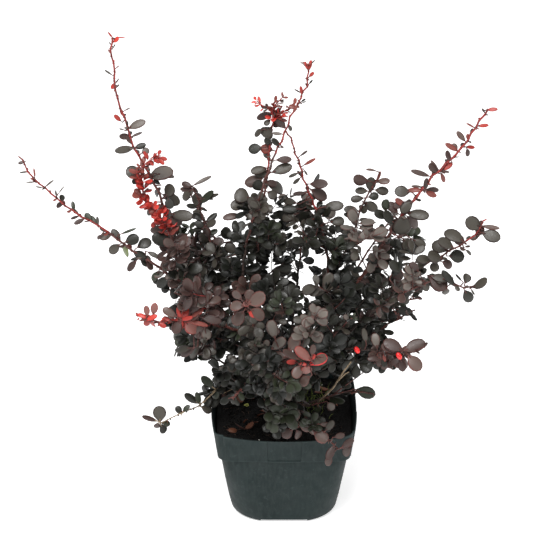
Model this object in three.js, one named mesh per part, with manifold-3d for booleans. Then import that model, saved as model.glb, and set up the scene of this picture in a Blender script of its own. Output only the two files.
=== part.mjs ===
// A red-leaved japanese barberry in its square nursery pot: the pot, the peat that fills it, a short
// woody trunk, the boughs that rise from the trunk, and on each bough one mass of thin twigs and rounded
// leaves. Millimetres, +Z up, +X to the right and +Y away from the viewer. The origin is the middle of the
// pot's underside, on the ground.
import * as THREE from "three";
import { mergeVertices } from "three/addons/utils/BufferGeometryUtils.js";
import Module from "manifold-3d";

const wasm = await Module();
wasm.setup();

// Driving dimensions of the pot
const POT_HEIGHT = 140;
const RIM_HALF = 84.5; // half the width over the rim
const COLLAR_DEPTH = 32; // the deep band under the rim
const COLLAR_FOOT_HALF = 80.5;
const COLLAR_STEP = 4.5; // how far the band stands out of the wall below it
const BASE_HALF = 63;
const WALL = 1.8;
const FLOOR = 4.4;
const RIM_DIP = 6; // how far the rim sags in the middle of each side
const RIM_BOW = 6; // how far each side bulges there
const RIM_CORNER = 11;
const BASE_CORNER = 46;
const LABEL_HALF = 21; // the recess for a label in the band of each side
const LABEL_DEPTH = 1;
const CHANNEL_HALF = 29; // drain channels run in from the middle of each side, under the floor
const CHANNEL_HEIGHT = 2.4;
const CHANNEL_END = 34;
const DRAIN_RADIUS = 5;

// Driving dimensions of the plant
const SOIL_LEVEL = 124;
const SOIL_CROWN = 3; // the peat rises this much from the wall to the trunk
const GAP = 0.3; // between pieces that touch
const TRUNK_HEIGHT = 36;
const TRUNK_RADIUS = 14;
const TRUNK_FLARE = 5;
const TRUNK_LEAN = new THREE.Vector2(1.5, 1);
const STEM_ROOT_RADIUS = 2.2;
const STEM_TIP_RADIUS = 0.8;
const BOUGH_STEP = 46; // the faceted limbs' chords are about this long
const STEM_STEP = 50;
const TWIG_RADIUS = 1.2;
const TWIG_TIP_RADIUS = 0.8;
const TWIG_GAP = 42; // between side twigs along a stem
const FOUR_LEAF_TWIG = 46; // a twig longer than this carries a fourth leaf
const TWIG_TILT = THREE.MathUtils.degToRad(62);
const TWIG_LIFT = 0.25; // how much a side twig is turned up towards the light
const LEAF_LENGTH = 38;
const LEAF_WIDTH = 26;
const LEAF_WIDEST = 0.6; // the share of its length at which a leaf is widest
const LEAF_THICK = 1.2;
const LEAF_SPREAD = THREE.MathUtils.degToRad(55); // between a leaf and its twig
const LEAF_SUNK = 0.3; // how far a leaf's foot lies past the middle of its twig
const LEAF_ROOM = 13; // between the middles of two leaves of one mass
const STEM_LEAF_GAP = 48; // between the leaves that stand on a stem itself
const TIP_LEAF_GAP = 28; // between leaves on the thin outer end of a long shoot
const SPACE_MARGIN = 2.4; // how much nearer to its own stem than to any other a mass's every corner is
const GOLDEN = Math.PI * (3 - Math.sqrt(5));
const UP = new THREE.Vector3(0, 0, 1);

// The three whorls in which the boughs leave the trunk: how high above the peat and how far from its middle.
const WHORLS = {
  top: { height: 28, ring: 9 },
  middle: { height: 18, ring: 10.5 },
  low: { height: 8, ring: 12 },
};

// One row for each bough with its mass. The tip lies at heading (degrees, 0 to the right and 90 away from
// the viewer), reach and height above the peat. The shoot bends by a knee and an elbow, each given by how
// far out it lies along the same heading, its rise above the peat, and its sway to the left. leafy is the
// share of the shoot at which its mass begins, bare the share of the mass's stem that carries small leaves
// only, and spread the length of its longest side twigs.
const SHOOTS = [
  { name: "left_long", heading: 187, reach: 307, height: 365, knee: [73, 220, 1], elbow: [215, 266, 11],
    leafy: 0.22, bare: 0.6, spread: 54, whorl: "top" },
  { name: "left_tall", heading: 171, reach: 196, height: 490, knee: [89, 142, 2], elbow: [191, 313, 8],
    leafy: 0.2, bare: 0.48, spread: 60, whorl: "top" },
  { name: "left_inner", heading: 142, reach: 129, height: 279, knee: [86, 141, -4], elbow: [143, 221, 1],
    leafy: 0.26, bare: 0.1, spread: 56, whorl: "middle" },
  { name: "centre_left", heading: 119, reach: 46, height: 398, knee: [58, 202, 52], elbow: [36, 322, -15],
    leafy: 0.22, bare: 0.08, spread: 46, whorl: "top" },
  { name: "centre_tall", heading: 0, reach: 27, height: 466, knee: [-113, 218, -4], elbow: [6, 335, -12],
    leafy: 0.2, bare: 0.42, spread: 50, whorl: "top" },
  { name: "centre_cross", heading: 91, reach: 70, height: 394, knee: [25, 216, -117], elbow: [39, 298, -4],
    leafy: 0.22, bare: 0.4, spread: 56, whorl: "top" },
  { name: "centre_right", heading: 37, reach: 149, height: 285, knee: [75, 147, 6], elbow: [120, 234, 8],
    leafy: 0.24, bare: 0.1, spread: 50, whorl: "top" },
  { name: "right_tall", heading: 5, reach: 246, height: 400, knee: [69, 146, -15], elbow: [136, 279, -19],
    leafy: 0.22, bare: 0.42, spread: 60, whorl: "top" },
  { name: "right_outer", heading: 353, reach: 238, height: 280, knee: [112, 128, -1], elbow: [190, 218, -1],
    leafy: 0.26, bare: 0.12, spread: 50, whorl: "middle" },
  { name: "right_mid", heading: 338, reach: 245, height: 228, knee: [101, 177, -5], elbow: [181, 225, -10],
    leafy: 0.28, bare: 0.2, spread: 44, whorl: "middle" },
  { name: "right_low", heading: 324, reach: 202, height: 162, knee: [69, 166, 9], elbow: [150, 104, -9],
    leafy: 0.26, bare: 0.1, spread: 44, whorl: "top" },
  { name: "right_side", heading: 342, reach: 162, height: 170, knee: [68, 91, 0], elbow: [120, 139, 2],
    leafy: 0.28, bare: 0.1, spread: 46, whorl: "low" },
  { name: "left_red", heading: 210, reach: 198, height: 186, knee: [46, 177, 22], elbow: [128, 177, 26],
    leafy: 0.26, bare: 0.3, spread: 52, whorl: "top" },
  { name: "left_sprig", heading: 200, reach: 172, height: 17, knee: [81, 100, -14], elbow: [82, 25, 25],
    leafy: 0.26, bare: 0.66, spread: 34, whorl: "middle" },
  { name: "left_side", heading: 184, reach: 128, height: 89, knee: [50, 66, 4], elbow: [100, 92, 4],
    leafy: 0.3, bare: 0.1, spread: 44, whorl: "low" },
  { name: "front_centre", heading: 285, reach: 165, height: 169, knee: [48, 83, -46], elbow: [94, 142, -41],
    leafy: 0.24, bare: 0.1, spread: 52, whorl: "low" },
  { name: "front_mid", heading: 256, reach: 144, height: 174, knee: [47, 94, -6], elbow: [103, 144, -6],
    leafy: 0.26, bare: 0.1, spread: 50, whorl: "middle" },
  { name: "front_left", heading: 254, reach: 156, height: 235, knee: [60, 128, -12], elbow: [118, 202, -10],
    leafy: 0.24, bare: 0.1, spread: 56, whorl: "low" },
  { name: "front_right", heading: 311, reach: 119, height: 182, knee: [46, 92, 6], elbow: [90, 152, 4],
    leafy: 0.26, bare: 0.1, spread: 50, whorl: "middle" },
  { name: "front_low_left", heading: 245, reach: 143, height: 97, knee: [46, 70, 0], elbow: [108, 104, 0],
    leafy: 0.28, bare: 0.1, spread: 48, whorl: "low" },
  { name: "front_droop", heading: 299, reach: 131, height: -2, knee: [62, 50, 8], elbow: [102, 46, 8],
    leafy: 0.34, bare: 0.1, spread: 40, whorl: "low" },
  { name: "right_sprig", heading: 350, reach: 111, height: 35, knee: [36, 15, -9], elbow: [70, 45, -5],
    leafy: 0.36, bare: 0.4, spread: 34, whorl: "low" },
  { name: "back_left", heading: 131, reach: 184, height: 236, knee: [79, 132, 0], elbow: [140, 203, 0],
    leafy: 0.24, bare: 0.1, spread: 60, whorl: "middle" },
  { name: "back_mid", heading: 79, reach: 163, height: 216, knee: [72, 120, 0], elbow: [124, 187, 0],
    leafy: 0.24, bare: 0.1, spread: 60, whorl: "low" },
  { name: "back_right", heading: 43, reach: 191, height: 206, knee: [81, 116, 0], elbow: [142, 179, 0],
    leafy: 0.24, bare: 0.1, spread: 58, whorl: "low" },
  { name: "back_low_left", heading: 150, reach: 200, height: 116, knee: [76, 86, 0], elbow: [140, 120, 0],
    leafy: 0.24, bare: 0.1, spread: 52, whorl: "middle" },
  { name: "back_low_right", heading: 25, reach: 189, height: 116, knee: [72, 84, 0], elbow: [132, 117, 0],
    leafy: 0.24, bare: 0.1, spread: 52, whorl: "top" },
  { name: "back_low_mid", heading: 90, reach: 180, height: 96, knee: [68, 86, 0], elbow: [127, 105, 0],
    leafy: 0.24, bare: 0.1, spread: 54, whorl: "low" },
];

const FINISH = {
  pot: { color: 0x39423f, roughness: 0.55, metalness: 0 },
  peat: { color: 0x17130f, roughness: 0.95, metalness: 0 },
  bark: { color: 0x4a2f22, roughness: 0.8, metalness: 0 },
  leaves: { color: 0x3f2c2e, roughness: 0.6, metalness: 0 },
};

// A geometry's places and faces alone, with corners nearer than a tolerance merged.
function cornersMerged(geometry, tolerance) {
  const bare = geometry.clone();
  bare.deleteAttribute("normal");
  bare.deleteAttribute("uv");
  return mergeVertices(bare, tolerance);
}

// Turns a closed three.js geometry into a solid, and a solid back into a geometry.
function solidOf(geometry) {
  const merged = cornersMerged(geometry, 1e-4);
  return new wasm.Manifold(
    new wasm.Mesh({
      numProp: 3,
      vertProperties: merged.attributes.position.array,
      triVerts: new Uint32Array(merged.index.array),
    }),
  );
}

function geometryOf(solid) {
  const { numProp, numVert, vertProperties, triVerts } = solid.getMesh();
  const places = new Float32Array(numVert * 3);
  for (let i = 0; i < numVert; i++) {
    places.set(vertProperties.subarray(i * numProp, i * numProp + 3), i * 3);
  }
  const geometry = new THREE.BufferGeometry();
  geometry.setAttribute("position", new THREE.BufferAttribute(places, 3));
  geometry.setIndex(new THREE.BufferAttribute(new Uint32Array(triVerts), 1));
  geometry.computeVertexNormals();
  return geometry;
}

// Keeps the largest closed piece of a solid, with any hollow that the joining sealed filled in.
function soundPiece(solid) {
  const pieces = solid.decompose().filter((piece) => piece.volume() > 0);
  return pieces.sort((a, b) => b.volume() - a.volume())[0];
}

// True if a solid is still one closed surface when its nearest corners are merged: no face is folded onto
// another, so each edge runs once each way.
function staysClosed(solid) {
  return [1e-3, 1e-4].every((tolerance) => {
    const corners = cornersMerged(geometryOf(solid), tolerance).index.array;
    const edges = new Set();
    for (let i = 0; i < corners.length; i += 3) {
      const face = corners.slice(i, i + 3);
      if (new Set(face).size < 3) {
        continue;
      }
      for (const [from, to] of [[0, 1], [1, 2], [2, 0]]) {
        const edge = `${face[from]} ${face[to]}`;
        if (edges.has(edge)) {
          return false;
        }
        edges.add(edge);
      }
    }
    return [...edges].every((edge) => edges.has(edge.split(" ").reverse().join(" ")));
  });
}

function meshOf(name, solid, finish) {
  const mesh = new THREE.Mesh(geometryOf(solid), new THREE.MeshStandardMaterial(finish));
  mesh.name = name;
  return mesh;
}

// Even numbers from 0 up to 1, the same each time for one seed.
function dice(seed) {
  let state = seed >>> 0;
  return () => {
    state = (Math.imul(state, 1664525) + 1013904223) >>> 0;
    return state / 4294967296;
  };
}

// The pot

const CORNER_STEPS = 4;
const SIDE_STEPS = 3;

// One ring of a square with round corners. Its sides bulge by bow and sag by dip in the middle.
function squareRing(half, corner, height, bow, dip) {
  const ring = [];
  const straight = half - corner;
  for (let side = 0; side < 4; side++) {
    const turn = (side * Math.PI) / 2;
    const put = (out, along) => {
      const middle = 1 - (along / half) ** 2;
      const reach = out + bow * middle;
      ring.push(
        new THREE.Vector3(
          reach * Math.cos(turn) - along * Math.sin(turn),
          reach * Math.sin(turn) + along * Math.cos(turn),
          height - dip * middle,
        ),
      );
    };
    for (let i = 0; i < SIDE_STEPS; i++) {
      put(half, straight * ((2 * i) / SIDE_STEPS - 1));
    }
    for (let i = 0; i < CORNER_STEPS; i++) {
      const angle = (i / CORNER_STEPS) * (Math.PI / 2);
      put(straight + corner * Math.cos(angle), straight + corner * Math.sin(angle));
    }
  }
  return ring;
}

// A closed solid through a stack of rings: a cylinder of as many sides, with each level laid on its ring.
function stack(rings) {
  const sides = rings[0].length;
  const shape = new THREE.CylinderGeometry(1, 1, 1, sides, rings.length - 1);
  const places = shape.attributes.position;
  for (let i = 0; i < places.count; i++) {
    const level = Math.round((places.getY(i) + 0.5) * (rings.length - 1));
    const ring = rings[level];
    if (Math.hypot(places.getX(i), places.getZ(i)) < 0.5) {
      const middle = ring.reduce((sum, p) => sum.add(p), new THREE.Vector3()).divideScalar(sides);
      places.setXYZ(i, middle.x, middle.y, middle.z);
      continue;
    }
    const angle = Math.atan2(-places.getZ(i), places.getX(i));
    const step = ((Math.round((angle / (2 * Math.PI)) * sides) % sides) + sides) % sides;
    places.setXYZ(i, ring[step].x, ring[step].y, ring[step].z);
  }
  return solidOf(shape);
}

const WALL_TOP = POT_HEIGHT - COLLAR_DEPTH;
const WALL_HALF = COLLAR_FOOT_HALF - COLLAR_STEP;
// Shares of the height at which the wall and the peat have a ring. The wall bulges between the peat's.
const WALL_LEVELS = [0, 0.03, 0.09, 0.45, 1];
const SOIL_LEVELS = [0, 0.09, 1];

// The pot's rings from its foot to its rim, drawn in by inset. Those of the inside start on the floor, and
// its ledge under the collar lies a wall's thickness above the outer one.
function potRings(inset, floor, levels = WALL_LEVELS) {
  const rings = levels.map((share) => {
    const height = floor + (WALL_TOP - floor) * share;
    const rise = height / WALL_TOP;
    const half = BASE_HALF + (WALL_HALF - BASE_HALF) * rise ** 0.85;
    const corner = BASE_CORNER + (RIM_CORNER + 4 - BASE_CORNER) * rise ** 0.8;
    const foot = 5 * Math.max(0, 1 - (height - floor) / 7) ** 2;
    const level = height + (share === 1 ? inset : 0);
    return squareRing(half - inset - foot, corner - inset / 2, level, bowAt(height), 0);
  });
  const ledge = WALL_TOP + inset + 0.7;
  rings.push(squareRing(COLLAR_FOOT_HALF - inset, RIM_CORNER, ledge, bowAt(ledge), 0));
  rings.push(squareRing(RIM_HALF - inset, RIM_CORNER, POT_HEIGHT, RIM_BOW, RIM_DIP));
  return rings;
}

function bowAt(height) {
  return RIM_BOW * (height / POT_HEIGHT) ** 2;
}

function lifted(ring, height) {
  return ring.map((point) => point.clone().setZ(point.z + height));
}

// One cut in the middle of a side, turned to each of the four sides.
function onEachSide(cut) {
  return wasm.Manifold.union([0, 90, 180, 270].map((angle) => cut.rotate([0, 0, angle])));
}

// The recess for a label follows the collar's slope: what a box holds outside a collar LABEL_DEPTH smaller.
function labelRecess() {
  const box = new THREE.BoxGeometry(60, 2 * LABEL_HALF, 60).translate(WALL_HALF + 20, 0, WALL_TOP + 31);
  const [foot, rim] = potRings(LABEL_DEPTH, 0).slice(-2);
  const inner = stack([lifted(foot, -10), foot, rim, lifted(rim, 20)]);
  return solidOf(box).subtract(inner);
}

function potSolid() {
  const outer = stack(potRings(0, 0));
  const inside = potRings(WALL, FLOOR);
  const inner = stack([...inside, lifted(inside.at(-1), 10)]);
  const channel = new THREE.BoxGeometry(60, 2 * CHANNEL_HALF, 2 * CHANNEL_HEIGHT);
  const drain = new THREE.CylinderGeometry(DRAIN_RADIUS, DRAIN_RADIUS, 20, 8).rotateX(Math.PI / 2);
  return outer
    .subtract(inner)
    .subtract(onEachSide(labelRecess()))
    .subtract(onEachSide(solidOf(channel.translate(CHANNEL_END + 30, 0, 0))))
    .subtract(onEachSide(solidOf(drain.translate(CHANNEL_END + 12, 0, 0))));
}

// The peat lies inside the wall, a gap clear of it, and rises a little towards the trunk.
function soilSolid() {
  const rings = potRings(WALL + GAP, FLOOR + GAP, SOIL_LEVELS);
  const rim = rings.pop();
  const foot = rings.at(-1);
  const edge = (SOIL_LEVEL - SOIL_CROWN - foot[0].z) / (POT_HEIGHT - foot[0].z);
  const drawnIn = 1 - GAP / WALL_HALF;
  rings.push(
    foot.map((point, i) => {
      const place = point.clone().lerp(rim[i], edge);
      return place.set(place.x * drawnIn, place.y * drawnIn, place.z);
    }),
  );
  rings.push(squareRing(0.66 * WALL_HALF, 20, SOIL_LEVEL - 0.8, 0, 0));
  rings.push(squareRing(0.34 * WALL_HALF, 20, SOIL_LEVEL, 0, 0));
  return stack(rings);
}

// Limbs and leaves

// Straight chords between even steps along a part of a curve: the axis of a faceted limb. Its rings keep the
// curve's own direction, so that the end faces of two parts of one curve lie parallel.
class Chords extends THREE.Curve {
  constructor(curve, from, to, steps) {
    super();
    this.steps = steps;
    const along = (share) => Math.min(1, from + (to - from) * share);
    this.directionAt = (share) => curve.getTangentAt(along(share));
    this.corners = Array.from({ length: steps + 1 }, (_, i) => curve.getPointAt(along(i / steps)));
  }
  getPoint(share, target = new THREE.Vector3()) {
    const step = Math.min(Math.floor(share * this.steps), this.steps - 1);
    return target.lerpVectors(this.corners[step], this.corners[step + 1], share * this.steps - step);
  }
  getPointAt(share, target) {
    return this.getPoint(share, target);
  }
  getTangentAt(share) {
    return this.directionAt(share);
  }
}

// A tapering limb along a route: a cylinder bent so that its axis lies on it.
function limb(route, radiusAt, sides) {
  const { steps } = route;
  const shape = new THREE.CylinderGeometry(1, 1, 1, sides, steps);
  const frames = route.computeFrenetFrames(steps);
  const places = shape.attributes.position;
  for (let i = 0; i < places.count; i++) {
    const share = places.getY(i) + 0.5;
    const step = Math.round(share * steps);
    const radius = radiusAt(share);
    const place = route
      .getPointAt(share)
      .addScaledVector(frames.normals[step], places.getX(i) * radius)
      .addScaledVector(frames.binormals[step], -places.getZ(i) * radius);
    places.setXYZ(i, place.x, place.y, place.z);
  }
  return solidOf(shape);
}

// A leaf of eight faces: its foot, its tip and two sides, thickest in the middle.
function leafShape(foot, along, face, length) {
  const shape = new THREE.OctahedronGeometry(1, 0);
  const side = new THREE.Vector3().crossVectors(along, face);
  const width = (length * LEAF_WIDTH) / LEAF_LENGTH;
  const places = shape.attributes.position;
  for (let i = 0; i < places.count; i++) {
    const x = Math.round(places.getX(i));
    const run = x === 0 ? LEAF_WIDEST : (1 + x) / 2;
    const place = foot
      .clone()
      .addScaledVector(along, run * length)
      .addScaledVector(side, (places.getZ(i) * width) / 2)
      .addScaledVector(face, (places.getY(i) * LEAF_THICK) / 2);
    places.setXYZ(i, place.x, place.y, place.z);
  }
  return shape;
}

// The shoots' courses

function bearing(degrees) {
  const angle = THREE.MathUtils.degToRad(degrees);
  return new THREE.Vector3(Math.cos(angle), Math.sin(angle), 0);
}

function bendOf(shoot, [out, rise, sway]) {
  const left = bearing(shoot.heading + 90);
  return bearing(shoot.heading)
    .multiplyScalar(out)
    .addScaledVector(left, sway)
    .setZ(SOIL_LEVEL + rise);
}

function tipOf(shoot) {
  return bearing(shoot.heading).multiplyScalar(shoot.reach).setZ(SOIL_LEVEL + shoot.height);
}

// The feet of one whorl's boughs are dealt evenly round the trunk, in the order of their knees' headings.
function feetOf(whorl) {
  const members = SHOOTS.filter((shoot) => shoot.whorl === whorl).map((shoot) => {
    const knee = bendOf(shoot, shoot.knee);
    return { shoot, heading: Math.atan2(knee.y, knee.x) };
  });
  members.sort((a, b) => a.heading - b.heading);
  const step = (2 * Math.PI) / members.length;
  const start =
    members.reduce((sum, member, i) => sum + member.heading - i * step, 0) / members.length;
  const { height, ring } = WHORLS[whorl];
  return members.map(({ shoot }, i) => {
    const angle = start + i * step;
    const foot = new THREE.Vector3(ring * Math.cos(angle), ring * Math.sin(angle), SOIL_LEVEL + height);
    return [shoot.name, foot];
  });
}

const FEET = new Map(Object.keys(WHORLS).flatMap(feetOf));

for (const shoot of SHOOTS) {
  shoot.course = new THREE.CubicBezierCurve3(
    FEET.get(shoot.name),
    bendOf(shoot, shoot.knee),
    bendOf(shoot, shoot.elbow),
    tipOf(shoot),
  );
  const length = shoot.course.getLength();
  const boughSteps = Math.max(2, Math.round((length * shoot.leafy) / BOUGH_STEP));
  const stemSteps = Math.max(2, Math.round((length * (1 - shoot.leafy)) / STEM_STEP));
  shoot.bough = new Chords(shoot.course, 0, shoot.leafy, boughSteps);
  shoot.stem = new Chords(shoot.course, shoot.leafy + GAP / length, 1, stemSteps);
  shoot.radiusAt = (share) =>
    THREE.MathUtils.lerp(STEM_ROOT_RADIUS, STEM_TIP_RADIUS, share ** 0.8);
  shoot.stemPoints = shoot.stem.getSpacedPoints(Math.ceil(shoot.stem.getLength() / 7));
  shoot.boughPoints = shoot.bough.getSpacedPoints(Math.ceil(shoot.bough.getLength() / 5));
}

// Room for a twig or leaf

function nearest(point, points) {
  let best = Infinity;
  for (const other of points) {
    best = Math.min(best, point.distanceToSquared(other));
  }
  return Math.sqrt(best);
}

function clearOfPot(point) {
  const side = Math.max(Math.abs(point.x), Math.abs(point.y));
  if (point.z > POT_HEIGHT + 3 || side > RIM_HALF + RIM_BOW + 3) {
    return point.z > 12;
  }
  return side < COLLAR_FOOT_HALF - COLLAR_STEP - 5 && point.z > SOIL_LEVEL + 3;
}

function clearOfLimbs(point, owner) {
  const trunk = Math.hypot(point.x, point.y) < TRUNK_RADIUS + TRUNK_FLARE + 3;
  if (trunk && point.z < SOIL_LEVEL + TRUNK_HEIGHT + 6) {
    return false;
  }
  return SHOOTS.every((shoot) => {
    const room = shoot === owner ? 1.5 : 2;
    return nearest(point, shoot.boughPoints) > STEM_ROOT_RADIUS + room;
  });
}

// A point is in a mass's space if it is nearer to its own stem than to any other, clear of pot and limbs.
function inSpace(point, owner) {
  if (!clearOfPot(point) || !clearOfLimbs(point, owner)) {
    return false;
  }
  const own = nearest(point, owner.stemPoints);
  return SHOOTS.every(
    (shoot) => shoot === owner || nearest(point, shoot.stemPoints) > own + SPACE_MARGIN,
  );
}

// Growth

// A direction that leans from a limb's own by tilt, turned round it by turn.
function leaning(tangent, tilt, turn) {
  const side = new THREE.Vector3().crossVectors(tangent, UP).normalize();
  const out = side.applyAxisAngle(tangent, turn);
  return tangent.clone().multiplyScalar(Math.cos(tilt)).addScaledVector(out, Math.sin(tilt));
}

// The face of a leaf is turned up and out of the crown as far as its direction lets it, and rolled a little.
function faceFor(along, place, roll) {
  const face = new THREE.Vector3(place.x, place.y, 0).normalize().multiplyScalar(0.8).add(UP);
  face.addScaledVector(along, -along.dot(face));
  return face.normalize().applyAxisAngle(along, roll);
}

// Adds a leaf at a share of a twig, turned so that it fits into the mass's space between the other leaves.
function addLeaf(mass, twig, share, turn, length) {
  const tangent = twig.getTangentAt(share);
  const roll = (mass.draw() - 0.5) * 1.4;
  for (const further of [0, 1, -1, 2, -2, 3]) {
    const along = leaning(tangent, LEAF_SPREAD, turn + further).normalize();
    const foot = twig.getPointAt(share).addScaledVector(along, -LEAF_SUNK);
    const face = faceFor(along, foot, roll);
    const middle = foot.clone().addScaledVector(along, length * LEAF_WIDEST);
    const side = new THREE.Vector3().crossVectors(along, face).multiplyScalar(length / 3);
    const corners = [
      foot.clone().addScaledVector(along, length),
      middle.clone().add(side),
      middle.clone().sub(side),
      foot.clone().addScaledVector(along, length * 0.3),
    ];
    const room = LEAF_ROOM * (length / LEAF_LENGTH);
    if (nearest(middle, mass.middles) > room && corners.every((corner) => inSpace(corner, mass.shoot))) {
      mass.middles.push(middle);
      mass.pieces.push(solidOf(leafShape(foot, along, face, length)));
      return;
    }
  }
}

// A side twig leans out of its stem and is turned up a little. The first that fits is taken.
function fitTwig(shoot, share, turn, length) {
  const start = shoot.stem.getPointAt(share);
  for (const cut of [1, 0.75, 0.5]) {
    for (const further of [0, 0.7, -0.7, 1.4, -1.4]) {
      const out = leaning(shoot.stem.getTangentAt(share), TWIG_TILT, turn + further);
      const end = start
        .clone()
        .addScaledVector(out, length * cut)
        .addScaledVector(UP, length * cut * TWIG_LIFT);
      const twig = new Chords(new THREE.LineCurve3(start, end), 0, 1, 1);
      if (twig.getPoints(4).slice(1).every((point) => inSpace(point, shoot))) {
        return twig;
      }
    }
  }
  return null;
}

// Grows one mass: its stem, side twigs in golden-angle order with leaves in threes, leaves on the stem
// itself, and small ones on its thin outer end.
function growMass(shoot, index, seed) {
  const { stem } = shoot;
  const length = stem.getLength();
  const radiusAt = (share) => shoot.radiusAt(shoot.leafy + (1 - shoot.leafy) * share);
  const twigRadius = (share) => THREE.MathUtils.lerp(TWIG_RADIUS, TWIG_TIP_RADIUS, share);
  const mass = { shoot, draw: dice(seed), middles: [], pieces: [] };
  mass.pieces.push(limb(stem, radiusAt, 3));
  const full = 1 - shoot.bare;
  const size = () => LEAF_LENGTH * (0.82 + 0.3 * mass.draw());
  const twigs = Math.max(2, Math.round((length * full) / TWIG_GAP));
  for (let k = 0; k < twigs; k++) {
    const share = ((k + 0.4) / twigs) * full;
    const turn = k * GOLDEN + index + (mass.draw() - 0.5) * 0.7;
    const reach = shoot.spread * (1 - (0.45 * k) / twigs) * (0.8 + 0.4 * mass.draw());
    const twig = fitTwig(shoot, share, turn, reach);
    if (!twig) {
      continue;
    }
    mass.pieces.push(limb(twig, twigRadius, 3));
    addLeaf(mass, twig, 0.98, turn - 0.6, size());
    addLeaf(mass, twig, 0.92, turn + 2.4, size());
    addLeaf(mass, twig, 0.55, turn + 1.2, size());
    if (reach > FOUR_LEAF_TWIG) {
      addLeaf(mass, twig, 0.5, turn - 2, size());
    }
  }
  const stemLeaves = Math.round((length * full) / STEM_LEAF_GAP);
  for (let k = 0; k < stemLeaves; k++) {
    addLeaf(mass, stem, ((k + 0.2) / stemLeaves) * full, k * GOLDEN + index + 1.5, size());
  }
  const tipLeaves = Math.max(1, Math.round((length * shoot.bare) / TIP_LEAF_GAP));
  for (let k = 0; k < tipLeaves; k++) {
    const along = (k + 0.5) / tipLeaves;
    addLeaf(mass, stem, full + shoot.bare * along, k * GOLDEN + index, LEAF_LENGTH * (0.7 - 0.35 * along));
  }
  addLeaf(mass, stem, 0.99, index, LEAF_LENGTH * 0.45);
  addLeaf(mass, stem, 0.985, index + Math.PI, LEAF_LENGTH * 0.45);
  return soundPiece(wasm.Manifold.union(mass.pieces));
}

// The first growth of a mass that stays closed.
function massSolid(shoot, index) {
  for (let attempt = 0; attempt < 8; attempt++) {
    const solid = growMass(shoot, index, 100 * (index + 1) + attempt);
    if (staysClosed(solid)) {
      return solid;
    }
  }
  throw new Error(`the leaves of ${shoot.name} don't close`);
}

// The trunk flares to its flat foot on the peat, tapers, leans a little and ends in a blunt dome.
function trunkSolid(grown) {
  const shape = new THREE.CylinderGeometry(1, 1, 1, 12, 6).rotateX(Math.PI / 2);
  const places = shape.attributes.position;
  for (let i = 0; i < places.count; i++) {
    const share = places.getZ(i) + 0.5;
    const flare = TRUNK_FLARE * (1 - share) ** 3;
    const dome = share > 0.99 ? 0.6 : 1 - 0.12 * share;
    const radius = TRUNK_RADIUS * dome + flare + grown;
    places.setXYZ(
      i,
      places.getX(i) * radius + TRUNK_LEAN.x * share,
      places.getY(i) * radius + TRUNK_LEAN.y * share,
      SOIL_LEVEL + GAP + (TRUNK_HEIGHT + grown) * share,
    );
  }
  return solidOf(shape);
}

const plant = new THREE.Group();
plant.add(meshOf("pot", potSolid(), FINISH.pot));
plant.add(meshOf("soil", soilSolid(), FINISH.peat));
plant.add(meshOf("trunk", trunkSolid(0), FINISH.bark));
const grownTrunk = trunkSolid(GAP);
SHOOTS.forEach((shoot, index) => {
  const radiusAt = (share) => shoot.radiusAt(shoot.leafy * share);
  const bough = soundPiece(limb(shoot.bough, radiusAt, 5).subtract(grownTrunk));
  plant.add(meshOf(`bough_${shoot.name}`, bough, FINISH.bark));
  plant.add(meshOf(`foliage_${shoot.name}`, massSolid(shoot, index), FINISH.leaves));
});

export default plant;
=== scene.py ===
"""A red-leaved japanese barberry in its square nursery pot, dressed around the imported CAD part.

+Z is up, +X to the right and +Y away from the viewer, as in the CAD frame. The shoots, side twigs and
sprays grow by the rule of the CAD source, written out again here. Each leaf of the source stands for a
spray: a thin twig with a rosette of leaves of real size. Shapes are worked out in millimetres, as in the
CAD source, and meshes are made in metres.
"""

import itertools
import math
import random

import bpy
import numpy as np
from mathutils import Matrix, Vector, noise


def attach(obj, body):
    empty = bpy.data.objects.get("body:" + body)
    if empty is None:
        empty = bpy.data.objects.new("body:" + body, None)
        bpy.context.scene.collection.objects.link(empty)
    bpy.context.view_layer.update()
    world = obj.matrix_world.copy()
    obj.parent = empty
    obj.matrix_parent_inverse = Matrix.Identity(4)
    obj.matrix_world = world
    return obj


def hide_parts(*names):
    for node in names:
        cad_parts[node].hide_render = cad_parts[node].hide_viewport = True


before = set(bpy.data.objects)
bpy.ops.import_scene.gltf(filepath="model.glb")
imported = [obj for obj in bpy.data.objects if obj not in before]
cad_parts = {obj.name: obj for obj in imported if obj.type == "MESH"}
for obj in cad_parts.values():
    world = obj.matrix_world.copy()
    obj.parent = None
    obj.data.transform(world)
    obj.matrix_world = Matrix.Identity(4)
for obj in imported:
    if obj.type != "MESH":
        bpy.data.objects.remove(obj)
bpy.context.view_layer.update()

MM = 0.001
UP = np.array([0.0, 0.0, 1.0])
GOLDEN = math.pi * (3 - math.sqrt(5))

# Driving dimensions of the pot, in millimetres
POT_HEIGHT = 140
RIM_HALF = 84.5
COLLAR_DEPTH = 40
COLLAR_FOOT_HALF = 80.5
COLLAR_STEP = 3.6
BASE_HALF = 65.5
WALL = 1.8
FLOOR = 6.0
RIM_DIP = 6
RIM_BOW = 6
RIM_CORNER = 11
BASE_CORNER = 47
LABEL_HALF = 21
LABEL_DEPTH = 1.0
CHANNEL_HALF = 29
CHANNEL_HEIGHT = 4.2
CHANNEL_END = 34
DRAIN_RADIUS = 5
WALL_TOP = POT_HEIGHT - COLLAR_DEPTH
WALL_HALF = COLLAR_FOOT_HALF - COLLAR_STEP

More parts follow.
